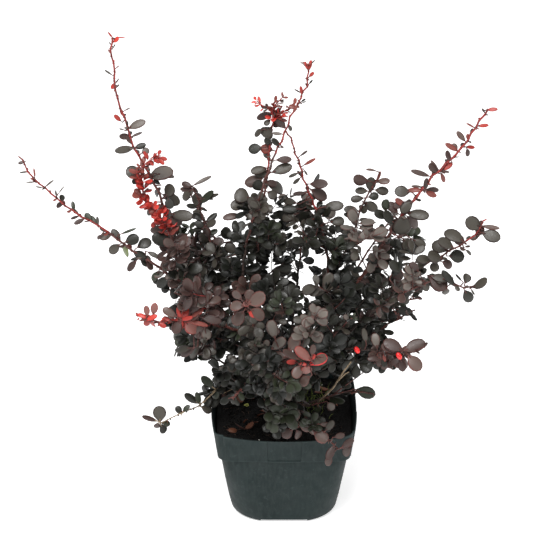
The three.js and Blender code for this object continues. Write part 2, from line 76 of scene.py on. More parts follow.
# Driving dimensions of the plant, in millimetres, the first ones as in the CAD source
SOIL_LEVEL = 124
SOIL_CROWN = 3
GAP = 0.3
TRUNK_HEIGHT = 36
TRUNK_RADIUS = 14
TRUNK_FLARE = 5
TRUNK_LEAN = (1.5, 1.0)
STEM_ROOT_RADIUS = 2.2
BOUGH_STEP = 46
STEM_STEP = 50
TWIG_GAP = 42
FOUR_LEAF_TWIG = 46
TWIG_TILT = math.radians(62)
TWIG_LIFT = 0.25
SPRAY_LENGTH = 38
SPRAY_WIDEST = 0.6
SPRAY_SPREAD = math.radians(55)
SPRAY_SUNK = 0.3
SPRAY_ROOM = 13
STEM_SPRAY_GAP = 48
TIP_SPRAY_GAP = 28
SPACE_MARGIN = 2.4
STEM_TIP_RADIUS = 0.95
TWIG_RADIUS = 0.85
TWIG_TIP_RADIUS = 0.6
LEAF_LENGTH = (17.0, 24.0)
LEAF_THICK = 0.35
NODE_GAP = 14
SPINE_LENGTH = (3, 6)
SPINE_RADII = (0.42, 0.26, 0.05)

# How the CAD source draws its twigs and leaves: shares of a size, and turns in radians
SPRAY_SIZES = (0.82, 0.3)  # the smallest, and the range above it
TWIG_SIZES = (0.8, 0.4)
SPRAY_ROLL = 1.4
SPRAY_TURNS = (0, 1, -1, 2, -2, 3)
TWIG_TURNS = (0, 0.7, -0.7, 1.4, -1.4)
TWIG_CUTS = (1, 0.75, 0.5)
TWIG_TAPER = 0.45  # how much shorter the last side twig is than the first
TWIG_SPRAYS = ((0.98, -0.6), (0.92, 2.4), (0.55, 1.2))  # where they stand on a side twig, and their turns
FOURTH_SPRAY = (0.5, -2)
TIP_SPRAYS = ((0.99, 0), (0.985, math.pi))
TIP_SPRAY_SIZE = 0.45

# Room kept free, in millimetres
CLEARANCE = 3
WALL_CLEARANCE = 5
GROUND_CLEARANCE = 12
TRUNK_CLEARANCE = 6
OWN_BOUGH_CLEARANCE = 1.5
OTHER_BOUGH_CLEARANCE = 2
STEM_PROBE_GAP = 7
BOUGH_PROBE_GAP = 5

WHORLS = {"top": (28, 9), "middle": (18, 10.5), "low": (8, 12)}

# One row for each shoot, as in the CAD source: name, heading (degrees), reach and height of the tip above
# the peat; knee and elbow as out along the heading, rise and sway to the left; the share of the shoot at
# which its leaves begin, the share of the leafy stem that carries small ones only, the length of its
# longest side twigs, and its whorl.
SHOOTS = [
    ("left_long", 187, 307, 365, (73, 220, 1), (215, 266, 11), 0.22, 0.6, 54, "top"),
    ("left_tall", 171, 196, 490, (89, 142, 2), (191, 313, 8), 0.2, 0.48, 60, "top"),
    ("left_inner", 142, 129, 279, (86, 141, -4), (143, 221, 1), 0.26, 0.1, 56, "middle"),
    ("centre_left", 119, 46, 398, (58, 202, 52), (36, 322, -15), 0.22, 0.08, 46, "top"),
    ("centre_tall", 0, 27, 466, (-113, 218, -4), (6, 335, -12), 0.2, 0.42, 50, "top"),
    ("centre_cross", 91, 70, 394, (25, 216, -117), (39, 298, -4), 0.22, 0.4, 56, "top"),
    ("centre_right", 37, 149, 285, (75, 147, 6), (120, 234, 8), 0.24, 0.1, 50, "top"),
    ("right_tall", 5, 246, 400, (69, 146, -15), (136, 279, -19), 0.22, 0.42, 60, "top"),
    ("right_outer", 353, 238, 280, (112, 128, -1), (190, 218, -1), 0.26, 0.12, 50, "middle"),
    ("right_mid", 338, 245, 228, (101, 177, -5), (181, 225, -10), 0.28, 0.2, 44, "middle"),
    ("right_low", 324, 202, 162, (69, 166, 9), (150, 104, -9), 0.26, 0.1, 44, "top"),
    ("right_side", 342, 162, 170, (68, 91, 0), (120, 139, 2), 0.28, 0.1, 46, "low"),
    ("left_red", 210, 198, 186, (46, 177, 22), (128, 177, 26), 0.26, 0.3, 52, "top"),
    ("left_sprig", 200, 172, 17, (81, 100, -14), (82, 25, 25), 0.26, 0.66, 34, "middle"),
    ("left_side", 184, 128, 89, (50, 66, 4), (100, 92, 4), 0.3, 0.1, 44, "low"),
    ("front_centre", 285, 165, 169, (48, 83, -46), (94, 142, -41), 0.24, 0.1, 52, "low"),
    ("front_mid", 256, 144, 174, (47, 94, -6), (103, 144, -6), 0.26, 0.1, 50, "middle"),
    ("front_left", 254, 156, 235, (60, 128, -12), (118, 202, -10), 0.24, 0.1, 56, "low"),
    ("front_right", 311, 119, 182, (46, 92, 6), (90, 152, 4), 0.26, 0.1, 50, "middle"),
    ("front_low_left", 245, 143, 97, (46, 70, 0), (108, 104, 0), 0.28, 0.1, 48, "low"),
    ("front_droop", 299, 131, -2, (62, 50, 8), (102, 46, 8), 0.34, 0.1, 40, "low"),
    ("right_sprig", 350, 111, 35, (36, 15, -9), (70, 45, -5), 0.36, 0.4, 34, "low"),
    ("back_left", 131, 184, 236, (79, 132, 0), (140, 203, 0), 0.24, 0.1, 60, "middle"),
    ("back_mid", 79, 163, 216, (72, 120, 0), (124, 187, 0), 0.24, 0.1, 60, "low"),
    ("back_right", 43, 191, 206, (81, 116, 0), (142, 179, 0), 0.24, 0.1, 58, "low"),
    ("back_low_left", 150, 200, 116, (76, 86, 0), (140, 120, 0), 0.24, 0.1, 52, "middle"),
    ("back_low_right", 25, 189, 116, (72, 84, 0), (132, 117, 0), 0.24, 0.1, 52, "top"),
    ("back_low_mid", 90, 180, 96, (68, 86, 0), (127, 105, 0), 0.24, 0.1, 54, "low"),
]
# Masses that the CAD source grows from their second seed
RESEEDED = ("left_red", "back_right")

# Where along its leafy stem a shoot's bark turns red
RED_BARK_FROM = {
    "left_red": 0.5, "centre_tall": 0.66, "centre_cross": 0.5, "right_tall": 0.5, "left_tall": 0.55,
    "left_long": 0.6, "centre_left": 0.7, "right_outer": 0.85,
}

# Colours of the young growth: the share of the leafy stem it starts from, and its tints
YOUNG = {
    "centre_tall": (0.7, ("russet", "wine", "russet")),
    "centre_cross": (0.55, ("wine", "plum", "slate")),
    "right_tall": (0.6, ("russet", "wine", "plum")),
    "left_tall": (0.8, ("russet", "coral", "wine")),
    "left_long": (0.5, ("olive", "wine", "slate", "russet")),
    "centre_left": (0.84, ("russet", "wine", "plum")),
    "front_left": (0.85, ("mauve", "plum", "slate")),
    "right_low": (0.5, ("mauve", "plum", "wine")),
    # front_droop's tints are mostly dark ones: painted shade low in front of the crown.
    "front_droop": (0.3, ("olive", "charcoal", "wine", "shade", "shade")),
    "right_outer": (0.75, ("plum", "wine", "slate")),
    "left_sprig": (0.3, ("olive", "charcoal", "slate")),
    "left_red": (0.66, ("russet", "wine", "plum")),
}
# Length of the leaves on the bare part of a shoot, where it starts and at its tip, and leaves at a node
TIP_LEAVES = {
    "left_tall": (19, 4.5, 3), "left_long": (20, 9, 3), "right_tall": (19, 11, 3), "centre_tall": (11, 7, 3),
    "centre_cross": (18, 6, 3), "centre_left": (18, 9, 4), "left_red": (10, 7, 8), "right_mid": (19, 13, 3),
    "right_outer": (19, 16, 3), "front_droop": (18, 15, 3), "right_low": (18, 14, 4),
    "right_sprig": (0, 0, 0), "left_sprig": (0, 0, 0),
}
PLAIN_TIP = (16, 8, 3)

# Shoots with their nodes closer together
DENSE = {"centre_left": 9, "left_red": 10, "centre_cross": 11, "right_low": 11}

# How much thicker than the others a shoot is
STOUT = {"left_sprig": 0.6, "right_tall": 1.3, "centre_tall": 0.95, "left_tall": 1.1, "left_red": 1.15}

# What no leaf may hide: pixel, radius, and the Y from which on a leaf would stand in front of it
IN_SIGHT = [(357, 350, 8, -62), (322, 360, 10, -150), (346, 372, 8, -80)]

# The stems' lines in the photograph, in pixels, from within the crown to the tip
STEM_LINES = {
    "left_long": (
        (168, 274), (150, 261), (134, 252), (120, 241), (98, 225), (82, 217), (63, 204), (44, 187),
        (36, 181), (28, 172), (22, 159),
    ),
    "left_tall": (
        (178, 262), (172, 240), (166, 214), (159, 193), (149, 174), (140, 158), (134, 148), (130, 138),
        (128, 127), (122, 112), (117, 98), (114, 80), (114, 67), (111, 52), (112, 38),
    ),
    "left_inner": (
        (212, 250), (207, 231), (203, 221), (200, 208), (198, 199), (193, 187),
    ),
    "centre_left": (
        (262, 208), (265, 190), (268, 170), (269, 152), (270, 136), (273, 122), (279, 112), (282, 106),
    ),
    "centre_tall": (
        (258, 205), (263, 185), (270, 168), (275, 153), (281, 142), (286, 130), (291, 115), (299, 103),
        (301, 95), (307, 87), (308, 72), (308, 64),
    ),
    "centre_cross": (
        (316, 210), (310, 194), (303, 178), (301, 167), (294, 150), (292, 140), (286, 131),
    ),
    "centre_right": (
        (348, 246), (356, 227), (358, 215), (363, 204), (365, 198), (371, 190), (376, 181), (380, 173),
    ),
    "right_tall": (
        (392, 230), (402, 214), (412, 202), (424, 188), (430, 178), (440, 170), (450, 160), (463, 147),
        (470, 136), (479, 122), (488, 109),
    ),
    "right_outer": (
        (412, 272), (430, 262), (445, 254), (456, 247), (465, 243), (473, 236), (480, 231), (483, 222),
    ),
    "right_mid": (
        (424, 284), (436, 279), (448, 279), (456, 285), (464, 288), (474, 286),
    ),
    "left_sprig": (
        (222, 386), (214, 391), (206, 400), (197, 407), (181, 413), (171, 418), (161, 423),
    ),
    "front_droop": (
        (291, 390), (300, 408), (309, 420), (318, 430), (330, 442), (338, 449),
    ),
    "back_low_left": (
        (198, 300), (182, 296), (168, 289), (157, 283),
    ),
    "left_red": (
        (226, 327), (206, 324), (188, 321), (178, 320), (166, 321), (158, 323), (150, 319), (143, 318),
    ),
}

# Where the photograph shows open sky or bare peat between the leaves: pixel and radius
OPEN = [
    (237, 118, 15), (180, 152, 10), (227, 179, 16), (222, 204, 9), (338, 177, 18), (400, 167, 14),
    (368, 246, 9), (364, 264, 7), (294, 168, 9), (308, 277, 7), (137, 211, 11), (153, 298, 13),
    (199, 372, 13), (368, 388, 15), (370, 424, 16), (391, 384, 12), (155, 350, 16), (172, 370, 13),
    (188, 376, 13), (164, 303, 9), (408, 334, 14), (427, 304, 16), (456, 211, 10), (238, 414, 22),
    (325, 260, 5), (377, 166, 10), (342, 419, 12), (310, 403, 9), (404, 378, 8),
]

# Where a shoot's leaves are placed one by one: the lowest and highest pixel of the field
PLACED = {
    "left_long": (0, 0, 160, 290), "left_tall": (0, 0, 196, 250), "left_inner": (170, 0, 222, 235),
    "centre_left": (235, 0, 300, 200), "centre_tall": (262, 0, 330, 197), "centre_cross": (280, 0, 335, 200),
    "centre_right": (340, 0, 392, 235), "right_tall": (376, 0, 533, 240), "right_outer": (420, 0, 533, 275),
    "right_mid": (420, 0, 533, 320), "left_red": (0, 0, 172, 345), "front_left": (228, 288, 264, 322),
    "right_low": (394, 335, 430, 380), "front_droop": (268, 436, 360, 470), "left_sprig": (0, 0, 216, 533),
}
# How much nearer than their stem such leaves stand, in millimetres
NEARER = {"front_centre": 16, "front_left": 12, "left_red": 14, "right_low": 6, "front_droop": 8}

# Where the photograph shows flushed leaves between the dark ones: pixel, radius and tints. The last three
# rows give dark tints instead, painted shade low in front of the crown.
FLUSHED_AND_PAINTED_SHADE = [
    (180, 225, 12, ("wine", "plum")), (160, 252, 11, ("wine", "russet")), (186, 252, 14, ("wine", "plum")),
    (212, 285, 14, ("wine", "slate")), (240, 300, 16, ("plum", "mauve", "wine")),
    (205, 312, 14, ("plum", "wine")), (395, 235, 14, ("wine", "slate")), (400, 265, 12, ("wine", "slate")),
    (305, 250, 10, ("wine", "slate")), (412, 248, 14, ("slate", "charcoal", "wine")),
    (414, 276, 13, ("charcoal", "slate", "wine")), (280, 400, 22, ("shade", "charcoal", "shade", "olive")),
    (262, 380, 16, ("olive", "charcoal", "shade")), (243, 390, 13, ("shade", "charcoal")),
]

# The photograph's viewing angle
CAMERA_AIM = Vector((-0.0217, 0.0, 0.326))
CAMERA_ELEVATION = math.radians(28)
CAMERA_DISTANCE = 2.5
SENSOR = 36.0
IMAGE_SIDE = 533
FOCAL_PIXELS = 2083
LENS = FOCAL_PIXELS * SENSOR / IMAGE_SIDE


def linear(red, green, blue):
    """A colour given as 0 to 255 on a screen, as the linear numbers that Blender's shaders take."""
    return tuple(
        value / 12.92 if value <= 0.04045 else ((value + 0.055) / 1.055) ** 2.4
        for value in (red / 255, green / 255, blue / 255)
    )


# Leaf colours: the blade and its margin. The margins are redder, as a barberry leaf's rim is, and most are
# darker too, painted shade of the rim that rolls down. shade, the darkest, is near black: painted shade for
# leaves deep in the crown and low in front.
TINTS = {
    "shade": (linear(14, 16, 10), linear(13, 13, 8)),
    "charcoal": (linear(28, 28, 21), linear(24, 20, 15)),
    "slate": (linear(57, 53, 46), linear(47, 36, 31)),
    "ash": (linear(88, 81, 75), linear(74, 52, 47)),
    "stone": (linear(94, 87, 81), linear(84, 60, 55)),
    "olive": (linear(38, 43, 29), linear(32, 31, 21)),
    "wine": (linear(58, 42, 38), linear(60, 32, 29)),
    "plum": (linear(66, 51, 46), linear(72, 43, 38)),
    "mauve": (linear(84, 68, 62), linear(94, 56, 50)),
    "russet": (linear(112, 56, 48), linear(124, 42, 36)),
    "coral": (linear(184, 58, 48), linear(168, 38, 34)),
    "ember": (linear(148, 46, 38), linear(124, 30, 28)),
    "rose": (linear(118, 74, 67), linear(126, 48, 43)),
    "rimmed": (linear(84, 66, 58), linear(190, 44, 46)),
    "lime": (linear(96, 108, 62), linear(80, 92, 48)),
}

# Materials


def shade(colour, factor):
    return tuple(min(1.0, channel * factor) for channel in colour)


class Finish:
    """A Principled material whose colour, roughness and relief follow noise in the object's own space."""

    def __init__(self, name, colour):
        self.made = bpy.data.materials.new(name)
        self.made.use_nodes = True
        self.tree = self.made.node_tree
        self.shader = self.tree.nodes["Principled BSDF"]
        self.place = self.node("ShaderNodeTexCoord").outputs["Object"]
        self.base = colour
        self.normal = None

    def node(self, kind, **values):
        made = self.tree.nodes.new(kind)
        for name, value in values.items():
            setattr(made, name, value)
        return made

    def noise(self, scale, detail=3.0, rough=0.55, place=None):
        node = self.node("ShaderNodeTexNoise")
        for socket, number in (("Scale", scale), ("Detail", detail), ("Roughness", rough)):
            node.inputs[socket].default_value = number
        self.tree.links.new(self.place if place is None else place, node.inputs["Vector"])
        return node.outputs["Fac"]

    def band(self, value, low, high, to_low=0.0, to_high=1.0):
        """Maps the band of a value from low to high onto the band from to_low to to_high."""
        node = self.node("ShaderNodeMapRange")
        limits = {"From Min": low, "From Max": high, "To Min": to_low, "To Max": to_high}
        for socket, number in limits.items():
            node.inputs[socket].default_value = number
        self.tree.links.new(value, node.inputs["Value"])
        return node.outputs["Result"]

    def layer(self, factor, colour):
        """Lays a colour over what is there, where the factor is high."""
        node = self.node("ShaderNodeMix", data_type="RGBA")
        self.tree.links.new(factor, node.inputs["Factor"])
        if isinstance(self.base, bpy.types.NodeSocket):
            self.tree.links.new(self.base, node.inputs["A"])
        else:
            node.inputs["A"].default_value = (*self.base, 1.0)
        node.inputs["B"].default_value = (*colour, 1.0)
        self.base = node.outputs["Result"]

    def roughness(self, scale, low, high, detail=3.0):
        value = self.band(self.noise(scale, detail), 0.3, 0.7, low, high)
        self.tree.links.new(value, self.shader.inputs["Roughness"])

    def relief(self, scale, depth, strength, detail=3.0, rough=0.55):
        """Adds a bump, its depth in metres, on top of those already there."""
        node = self.node("ShaderNodeBump")
        node.inputs["Distance"].default_value = depth
        node.inputs["Strength"].default_value = strength
        self.tree.links.new(self.noise(scale, detail, rough), node.inputs["Height"])
        if self.normal is not None:
            self.tree.links.new(self.normal, node.inputs["Normal"])
        self.normal = node.outputs["Normal"]

    def done(self, specular=None):
        self.tree.links.new(self.base, self.shader.inputs["Base Color"])
        self.tree.links.new(self.normal, self.shader.inputs["Normal"])
        if specular is not None:
            self.shader.inputs["Specular IOR Level"].default_value = specular
        return self.made


def leaf_material(name, colour, rough):
    """A satin leaf: one base colour that drifts a little from spray to spray, and fine veins."""
    leaf = Finish(name, shade(colour, 0.8))
    leaf.layer(leaf.band(leaf.noise(26.0, 2.0), 0.3, 0.7), shade(colour, 1.22))
    leaf.roughness(300.0, rough - 0.08, rough + 0.1)
    leaf.relief(900.0, 0.0003, 0.5, 2.0)
    return leaf.done(0.36)


def leaf_materials(name, blade, margin, blade_rough, margin_rough):
    return [
        leaf_material(f"leaf_{name}", blade, blade_rough),
        leaf_material(f"margin_{name}", margin, margin_rough),
    ]


def bark_material(name, colour, dark, grain=1.0):
    """Thin bark: darker patches, paler flecks and a fine grain."""
    bark = Finish(name, dark)
    bark.layer(bark.band(bark.noise(60.0, 4.0), 0.35, 0.65), colour)
    bark.layer(bark.band(bark.noise(700.0, 2.0), 0.52, 0.66), shade(colour, 1.5))
    bark.roughness(240.0, 0.5, 0.8)
    bark.relief(500.0, 0.0006 * grain, 0.7, 5.0, 0.65)
    return bark.done()


def fruit_material():
    """A smooth bright red skin with darker flushes."""
    skin = Finish("fruit_skin", linear(190, 20, 24))
    skin.layer(skin.band(skin.noise(160.0), 0.35, 0.65), linear(226, 38, 34))
    skin.roughness(400.0, 0.2, 0.34)
    skin.relief(900.0, 0.0001, 0.4, 2.0)
    return skin.done()


def pot_material():
    """Dark grey-green moulded plastic: clouds, upright streaks, faint dust, and edges made paler as a painted
    highlight.
    """
    pot = Finish("pot_plastic", linear(21, 31, 31))
    pot.layer(pot.band(pot.noise(14.0, 5.0, 0.6), 0.35, 0.65), linear(29, 39, 39))
    drawn = pot.node("ShaderNodeVectorMath", operation="MULTIPLY")
    pot.tree.links.new(pot.place, drawn.inputs[0])
    drawn.inputs[1].default_value = (1.0, 1.0, 0.25)
    streaks = pot.noise(260.0, 3.0, place=drawn.outputs[0])
    pot.layer(pot.band(streaks, 0.4, 0.66, 0.0, 0.55), linear(38, 47, 46))
    pot.layer(pot.band(pot.noise(160.0, 6.0, 0.7), 0.56, 0.8, 0.0, 0.5), linear(58, 70, 69))
    # Painted highlight: a paler colour where the mesh is sharply convex, at its edges and rim.
    edge = pot.node("ShaderNodeNewGeometry").outputs["Pointiness"]
    pot.layer(pot.band(edge, 0.53, 0.6, 0.0, 0.5), linear(78, 92, 91))
    pot.roughness(60.0, 0.55, 0.72, 4.0)
    pot.relief(30.0, 0.0008, 0.35, 2.0)
    pot.relief(1400.0, 0.00012, 0.6, 3.0)
    return pot.done(0.16)


def peat_material(name, colour, pale):
    """Moist peat: darker patches at random, painted shade meant for the hollows between the clods, pale
    fibres and a rough relief.
    """
    # Painted shade: the peat's colour at half strength, with its full colour laid over part of it by noise.
    peat = Finish(name, shade(colour, 0.5))
    peat.layer(peat.band(peat.noise(120.0, 6.0, 0.7), 0.35, 0.7), colour)
    peat.layer(peat.band(peat.noise(900.0, 3.0, 0.7), 0.58, 0.7), pale)
    peat.roughness(500.0, 0.75, 1.0)
    peat.relief(800.0, 0.0016, 1.0, 6.0, 0.7)
    return peat.done(0.25)


def speck_material(name, colour, rough):
    """A granule: spots of its colour, rougher where they are paler."""
    speck = Finish(name, shade(colour, 0.7))
    spots = speck.band(speck.noise(420.0, 4.0), 0.35, 0.65)
    speck.layer(spots, shade(colour, 1.2))
    sheen = speck.band(spots, 0.0, 1.0, rough - 0.1, rough + 0.1)
    speck.tree.links.new(sheen, speck.shader.inputs["Roughness"])
    speck.relief(1100.0, 0.0004, 0.6)
    return speck.done()


# Meshes from arrays


class Parts:
    """Gathers vertices in millimetres with their faces, and makes one mesh piece of them all."""

    def __init__(self):
        self.places = []
        self.faces = []
        self.slots = []
        self.count = 0

    def add(self, places, faces, slots=(0, 0)):
        """faces holds arrays of faces with equal corners, and slots one number or an array for each."""
        self.places.append(np.asarray(places, float))
        for corners, slot in zip(faces, slots):
            corners = np.asarray(corners, np.int32)
            self.faces.append(corners + self.count)
            self.slots.append(np.broadcast_to(np.asarray(slot, np.int32), len(corners)))
        self.count += len(places)

    def mesh(self, name):
        mesh = bpy.data.meshes.new(name)
        places = np.concatenate(self.places) * MM
        mesh.vertices.add(len(places))
        mesh.vertices.foreach_set("co", places.astype(np.float32).ravel())
        sizes = np.concatenate([np.full(len(f), f.shape[1], np.int32) for f in self.faces])
        corners = np.concatenate([f.ravel() for f in self.faces])
        mesh.loops.add(len(corners))
        mesh.loops.foreach_set("vertex_index", corners)
        mesh.polygons.add(len(sizes))
        starts = np.concatenate([[0], np.cumsum(sizes)[:-1]]).astype(np.int32)
        mesh.polygons.foreach_set("loop_start", starts)
        mesh.polygons.foreach_set("material_index", np.concatenate(self.slots))
        mesh.polygons.foreach_set("use_smooth", np.ones(len(sizes), bool))
        mesh.update(calc_edges=True)
        return mesh

    def piece(self, name, materials, slot, nodes=()):
        """A piece of the plant: it rides on the root body, and its faces take their finish from its material
        slots. The slot argument is not used.
        """
        made = bpy.data.objects.new(name, self.mesh(name))
        bpy.context.scene.collection.objects.link(made)
        for item in materials:
            made.data.materials.append(item)
        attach(made, "root")
        if nodes:
            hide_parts(*nodes)
        return made


def turned(vector, axis, angle):
    """A vector turned about a unit axis."""
    return (
        vector * math.cos(angle)
        + np.cross(axis, vector) * math.sin(angle)
        + axis * np.dot(axis, vector) * (1 - math.cos(angle))
    )


def unit(vector):
    return vector / max(1e-9, float(np.linalg.norm(vector)))


def shell_faces(count, sides):
    """The quads between rings, and a fan over the first and the last, round the two corners that follow."""
    ring = np.arange(sides)
    after = (ring + 1) % sides
    last = (count - 1) * sides
    quads = [
        np.stack([low + ring, low + after, low + sides + after, low + sides + ring], axis=1)
        for low in range(0, last, sides)
    ]
    caps = [
        np.stack([np.full(sides, last + sides), after, ring], axis=1),
        np.stack([np.full(sides, last + sides + 1), last + ring, last + after], axis=1),
    ]
    return [np.concatenate(quads), np.concatenate(caps)]


def add_tube(parts, line, radii, sides, relief=None):
    """A closed tube along a line of points. relief gives each point of a ring a factor on its radius."""
    line = np.asarray(line, float)
    ways = np.gradient(line, axis=0)
    across = unit(np.cross(ways[0], UP + np.array([0.01, 0.02, 0])))
    angles = np.arange(sides) * 2 * math.pi / sides
    rings = []
    for i, (middle, way) in enumerate(zip(line, ways)):
        way = unit(way)
        across = unit(across - way * np.dot(across, way))
        other = np.cross(way, across)
        reach = np.full(sides, float(radii[i]))
        if relief is not None:
            reach *= relief(i, angles)
        ring = np.outer(np.cos(angles) * reach, across)
        rings.append(middle + ring + np.outer(np.sin(angles) * reach, other))
    parts.add(np.concatenate([*rings, line[:1], line[-1:]]), shell_faces(len(line), sides))


# Leaves

# A leaf's outline: half its width, as a share of the widest, at each share of its length
LEAF_OUTLINE = [(0.14, 0.09), (0.28, 0.5), (0.44, 0.88), (0.62, 1.0), (0.8, 0.88), (0.94, 0.52)]
LEAF_SINK = 0.8  # how far the curl of a leaf takes its tip down
MARGIN_FROM = 0.78  # the share of the half width at which the margin's colour begins
LEAF_COLUMNS = [-1.0, -MARGIN_FROM, 0.0, MARGIN_FROM, 1.0]
ROW_CORNERS = 6  # five along the upper side, then one below the midrib
MARGIN_COLUMNS = (0, 3)


def leaf_faces():
    """The faces of one leaf by its corners, and which of them lie in its margin."""
    rows = len(LEAF_OUTLINE)
    foot, tip = rows * ROW_CORNERS, rows * ROW_CORNERS + 1
    last = (rows - 1) * ROW_CORNERS
    quads, slots, triangles = [], [], []
    for here in range(ROW_CORNERS):
        after = (here + 1) % ROW_CORNERS
        for low in range(0, last, ROW_CORNERS):
            high = low + ROW_CORNERS
            quads.append([low + here, low + after, high + after, high + here])
            slots.append(1 if here in MARGIN_COLUMNS or low == 0 else 0)
        triangles += [[foot, after, here], [last + here, last + after, tip]]
    return np.array(quads), np.array(slots), np.array(triangles)


LEAF_QUADS, LEAF_QUAD_SLOTS, LEAF_TRIANGLES = leaf_faces()


def leaf_places(leaf):
    """The corners of one leaf: an obovate blade, folded along its midrib, its sides and tip bent down."""
    foot, along, face, length, width, fold, roll, curl = leaf
    side = np.cross(along, face)
    outline = np.array(LEAF_OUTLINE)
    share, half = outline[:, 0:1], outline[:, 1:2] * width / 2
    columns = np.array(LEAF_COLUMNS)[None, :]

    def surface(across, drop):
        run = share * np.cos(curl * share)
        sink = np.sin(curl * share) * share * LEAF_SINK
        lift = half * (fold * np.abs(across) - roll * np.abs(across) ** 3) - sink * length - drop
        return (
            foot
            + (run * length)[..., None] * along
            + (half * across)[..., None] * side
            + lift[..., None] * face
        )

    rows = np.concatenate([surface(columns, 0.0), surface(columns[:, 2:3], LEAF_THICK)], axis=1)
    tip = foot + along * length * math.cos(curl) - face * length * math.sin(curl) * LEAF_SINK
    return np.concatenate([rows.reshape(-1, 3), foot[None], tip[None]])


def add_leaf(parts, leaf):
    parts.add(leaf_places(leaf), [LEAF_QUADS, LEAF_TRIANGLES], [LEAF_QUAD_SLOTS, 1])


# The shoots' courses

COURSE_POINTS = 401
STEM_POINTS = 90
# A line in the photograph begins this much past the first leaves, and before this share of its shoot
LINE_SEARCH = (0.08, 0.95)


class Course:
    """A cubic curve read by its share of arc length."""

    def __init__(self, corners):
        share = np.linspace(0, 1, COURSE_POINTS)[:, None]
        a, b, c, d = corners
        rest = 1 - share
        self.places = rest**3 * a + 3 * rest**2 * share * b + 3 * rest * share**2 * c + share**3 * d
        ways = 3 * rest**2 * (b - a) + 6 * rest * share * (c - b) + 3 * share**2 * (d - c)
        self.ways = ways / np.linalg.norm(ways, axis=1)[:, None]
        steps = np.linalg.norm(np.diff(self.places, axis=0), axis=1)
        self.run = np.concatenate([[0], np.cumsum(steps)])
        self.length = float(self.run[-1])

    def read(self, table, share):
        at = min(1.0, max(0.0, share)) * self.length
        return np.array([np.interp(at, self.run, table[:, i]) for i in range(3)])

    def point(self, share):
        return self.read(self.places, share)

    def way(self, share):
        return unit(self.read(self.ways, share))


class Chords:
    """Straight chords between even steps along a part of a course, which keep the course's direction."""

    def __init__(self, course, first, last, steps):
        self.course, self.first, self.last = course, first, last
        self.corners = np.array([course.point(self.along(i / steps)) for i in range(steps + 1)])
        self.length = float(np.linalg.norm(np.diff(self.corners, axis=0), axis=1).sum())

    def along(self, share):
        return min(1.0, self.first + (self.last - self.first) * share)

    def point(self, share):
        steps = np.arange(len(self.corners)) / (len(self.corners) - 1)
        return np.array([np.interp(share, steps, self.corners[:, i]) for i in range(3)])

    def way(self, share):
        return self.course.way(self.along(share))

    def spaced(self, gap):
        count = math.ceil(self.length / gap)
        return np.array([self.point(i / count) for i in range(count + 1)])


def bearing(degrees):
    angle = math.radians(degrees)
    return np.array([math.cos(angle), math.sin(angle), 0.0])


class Shoot:
    """One long shoot: its row of numbers, its course and, where the photograph shows it, its line there."""

    def __init__(self, index, row):
        self.index = index
        self.name, self.heading, reach, height, knee, elbow, *rest = row
        self.leafy, self.bare, self.spread, self.whorl = rest
        self.knee = self.bend(*knee)
        self.elbow = self.bend(*elbow)
        self.tip = bearing(self.heading) * reach + UP * (SOIL_LEVEL + height)
        self.full = 1 - self.bare
        self.line = None

    def whole(self, share):
        """A share of the whole shoot, from a share of its leafy stem."""
        return self.leafy + (1 - self.leafy) * share

    def on_stem(self, share):
        return (share - self.leafy) / (1 - self.leafy)

    def bend(self, out, rise, sway):
        level = UP * (SOIL_LEVEL + rise)
        return bearing(self.heading) * out + bearing(self.heading + 90) * sway + level

    def read_line(self):
        """Finds the share of the course at which the stem's line in the photograph begins."""
        self.line = np.array(STEM_LINES[self.name], float)
        lengths = np.linalg.norm(np.diff(self.line, axis=0), axis=1)
        self.line_shares = np.concatenate([[0], np.cumsum(lengths)]) / lengths.sum()
        shares = np.linspace(self.leafy + LINE_SEARCH[0], LINE_SEARCH[1], STEM_POINTS)
        places = [pixel_of(self.course.point(share)) for share in shares]
        self.line_from = shares[np.argmin([math.dist(place, self.line[0]) for place in places])]

    def hang(self, share):
        """How far the dressed shoot stands off its course, to follow its line in the photograph."""
        if self.name not in STEM_LINES:
            return np.zeros(3)
        if self.line is None:
            self.read_line()
        if share < self.line_from:
            near = max(0.0, (share - self.leafy) / (self.line_from - self.leafy))
            return self.hang(self.line_from) * near
        far = (share - self.line_from) / (1 - self.line_from)
        x, y = [np.interp(far, self.line_shares, self.line[:, i]) for i in (0, 1)]
        place = self.course.point(share)
        return seen_at(x, y, place[1]) - place

    def place(self, share):
        return self.course.point(share) + self.hang(share)

    def way(self, share):
        """The direction of the dressed shoot."""
        low, high = max(self.leafy, share - 0.01), min(1.0, share + 0.01)
        return unit(self.place(high) - self.place(low))

    def set_course(self, foot):
        self.course = Course((foot, self.knee, self.elbow, self.tip))
        length = self.course.length
        bough_steps = max(2, round(length * self.leafy / BOUGH_STEP))
        stem_steps = max(2, round(length * (1 - self.leafy) / STEM_STEP))
        self.bough = Chords(self.course, 0, self.leafy, bough_steps)
        self.stem = Chords(self.course, self.leafy + GAP / length, 1, stem_steps)
        self.stem_points = self.stem.spaced(STEM_PROBE_GAP)
        self.bough_points = self.bough.spaced(BOUGH_PROBE_GAP)


def radius_at(share):
    """The radius of a limb at a share of its whole shoot."""
    return STEM_ROOT_RADIUS + (STEM_TIP_RADIUS - STEM_ROOT_RADIUS) * share**0.8


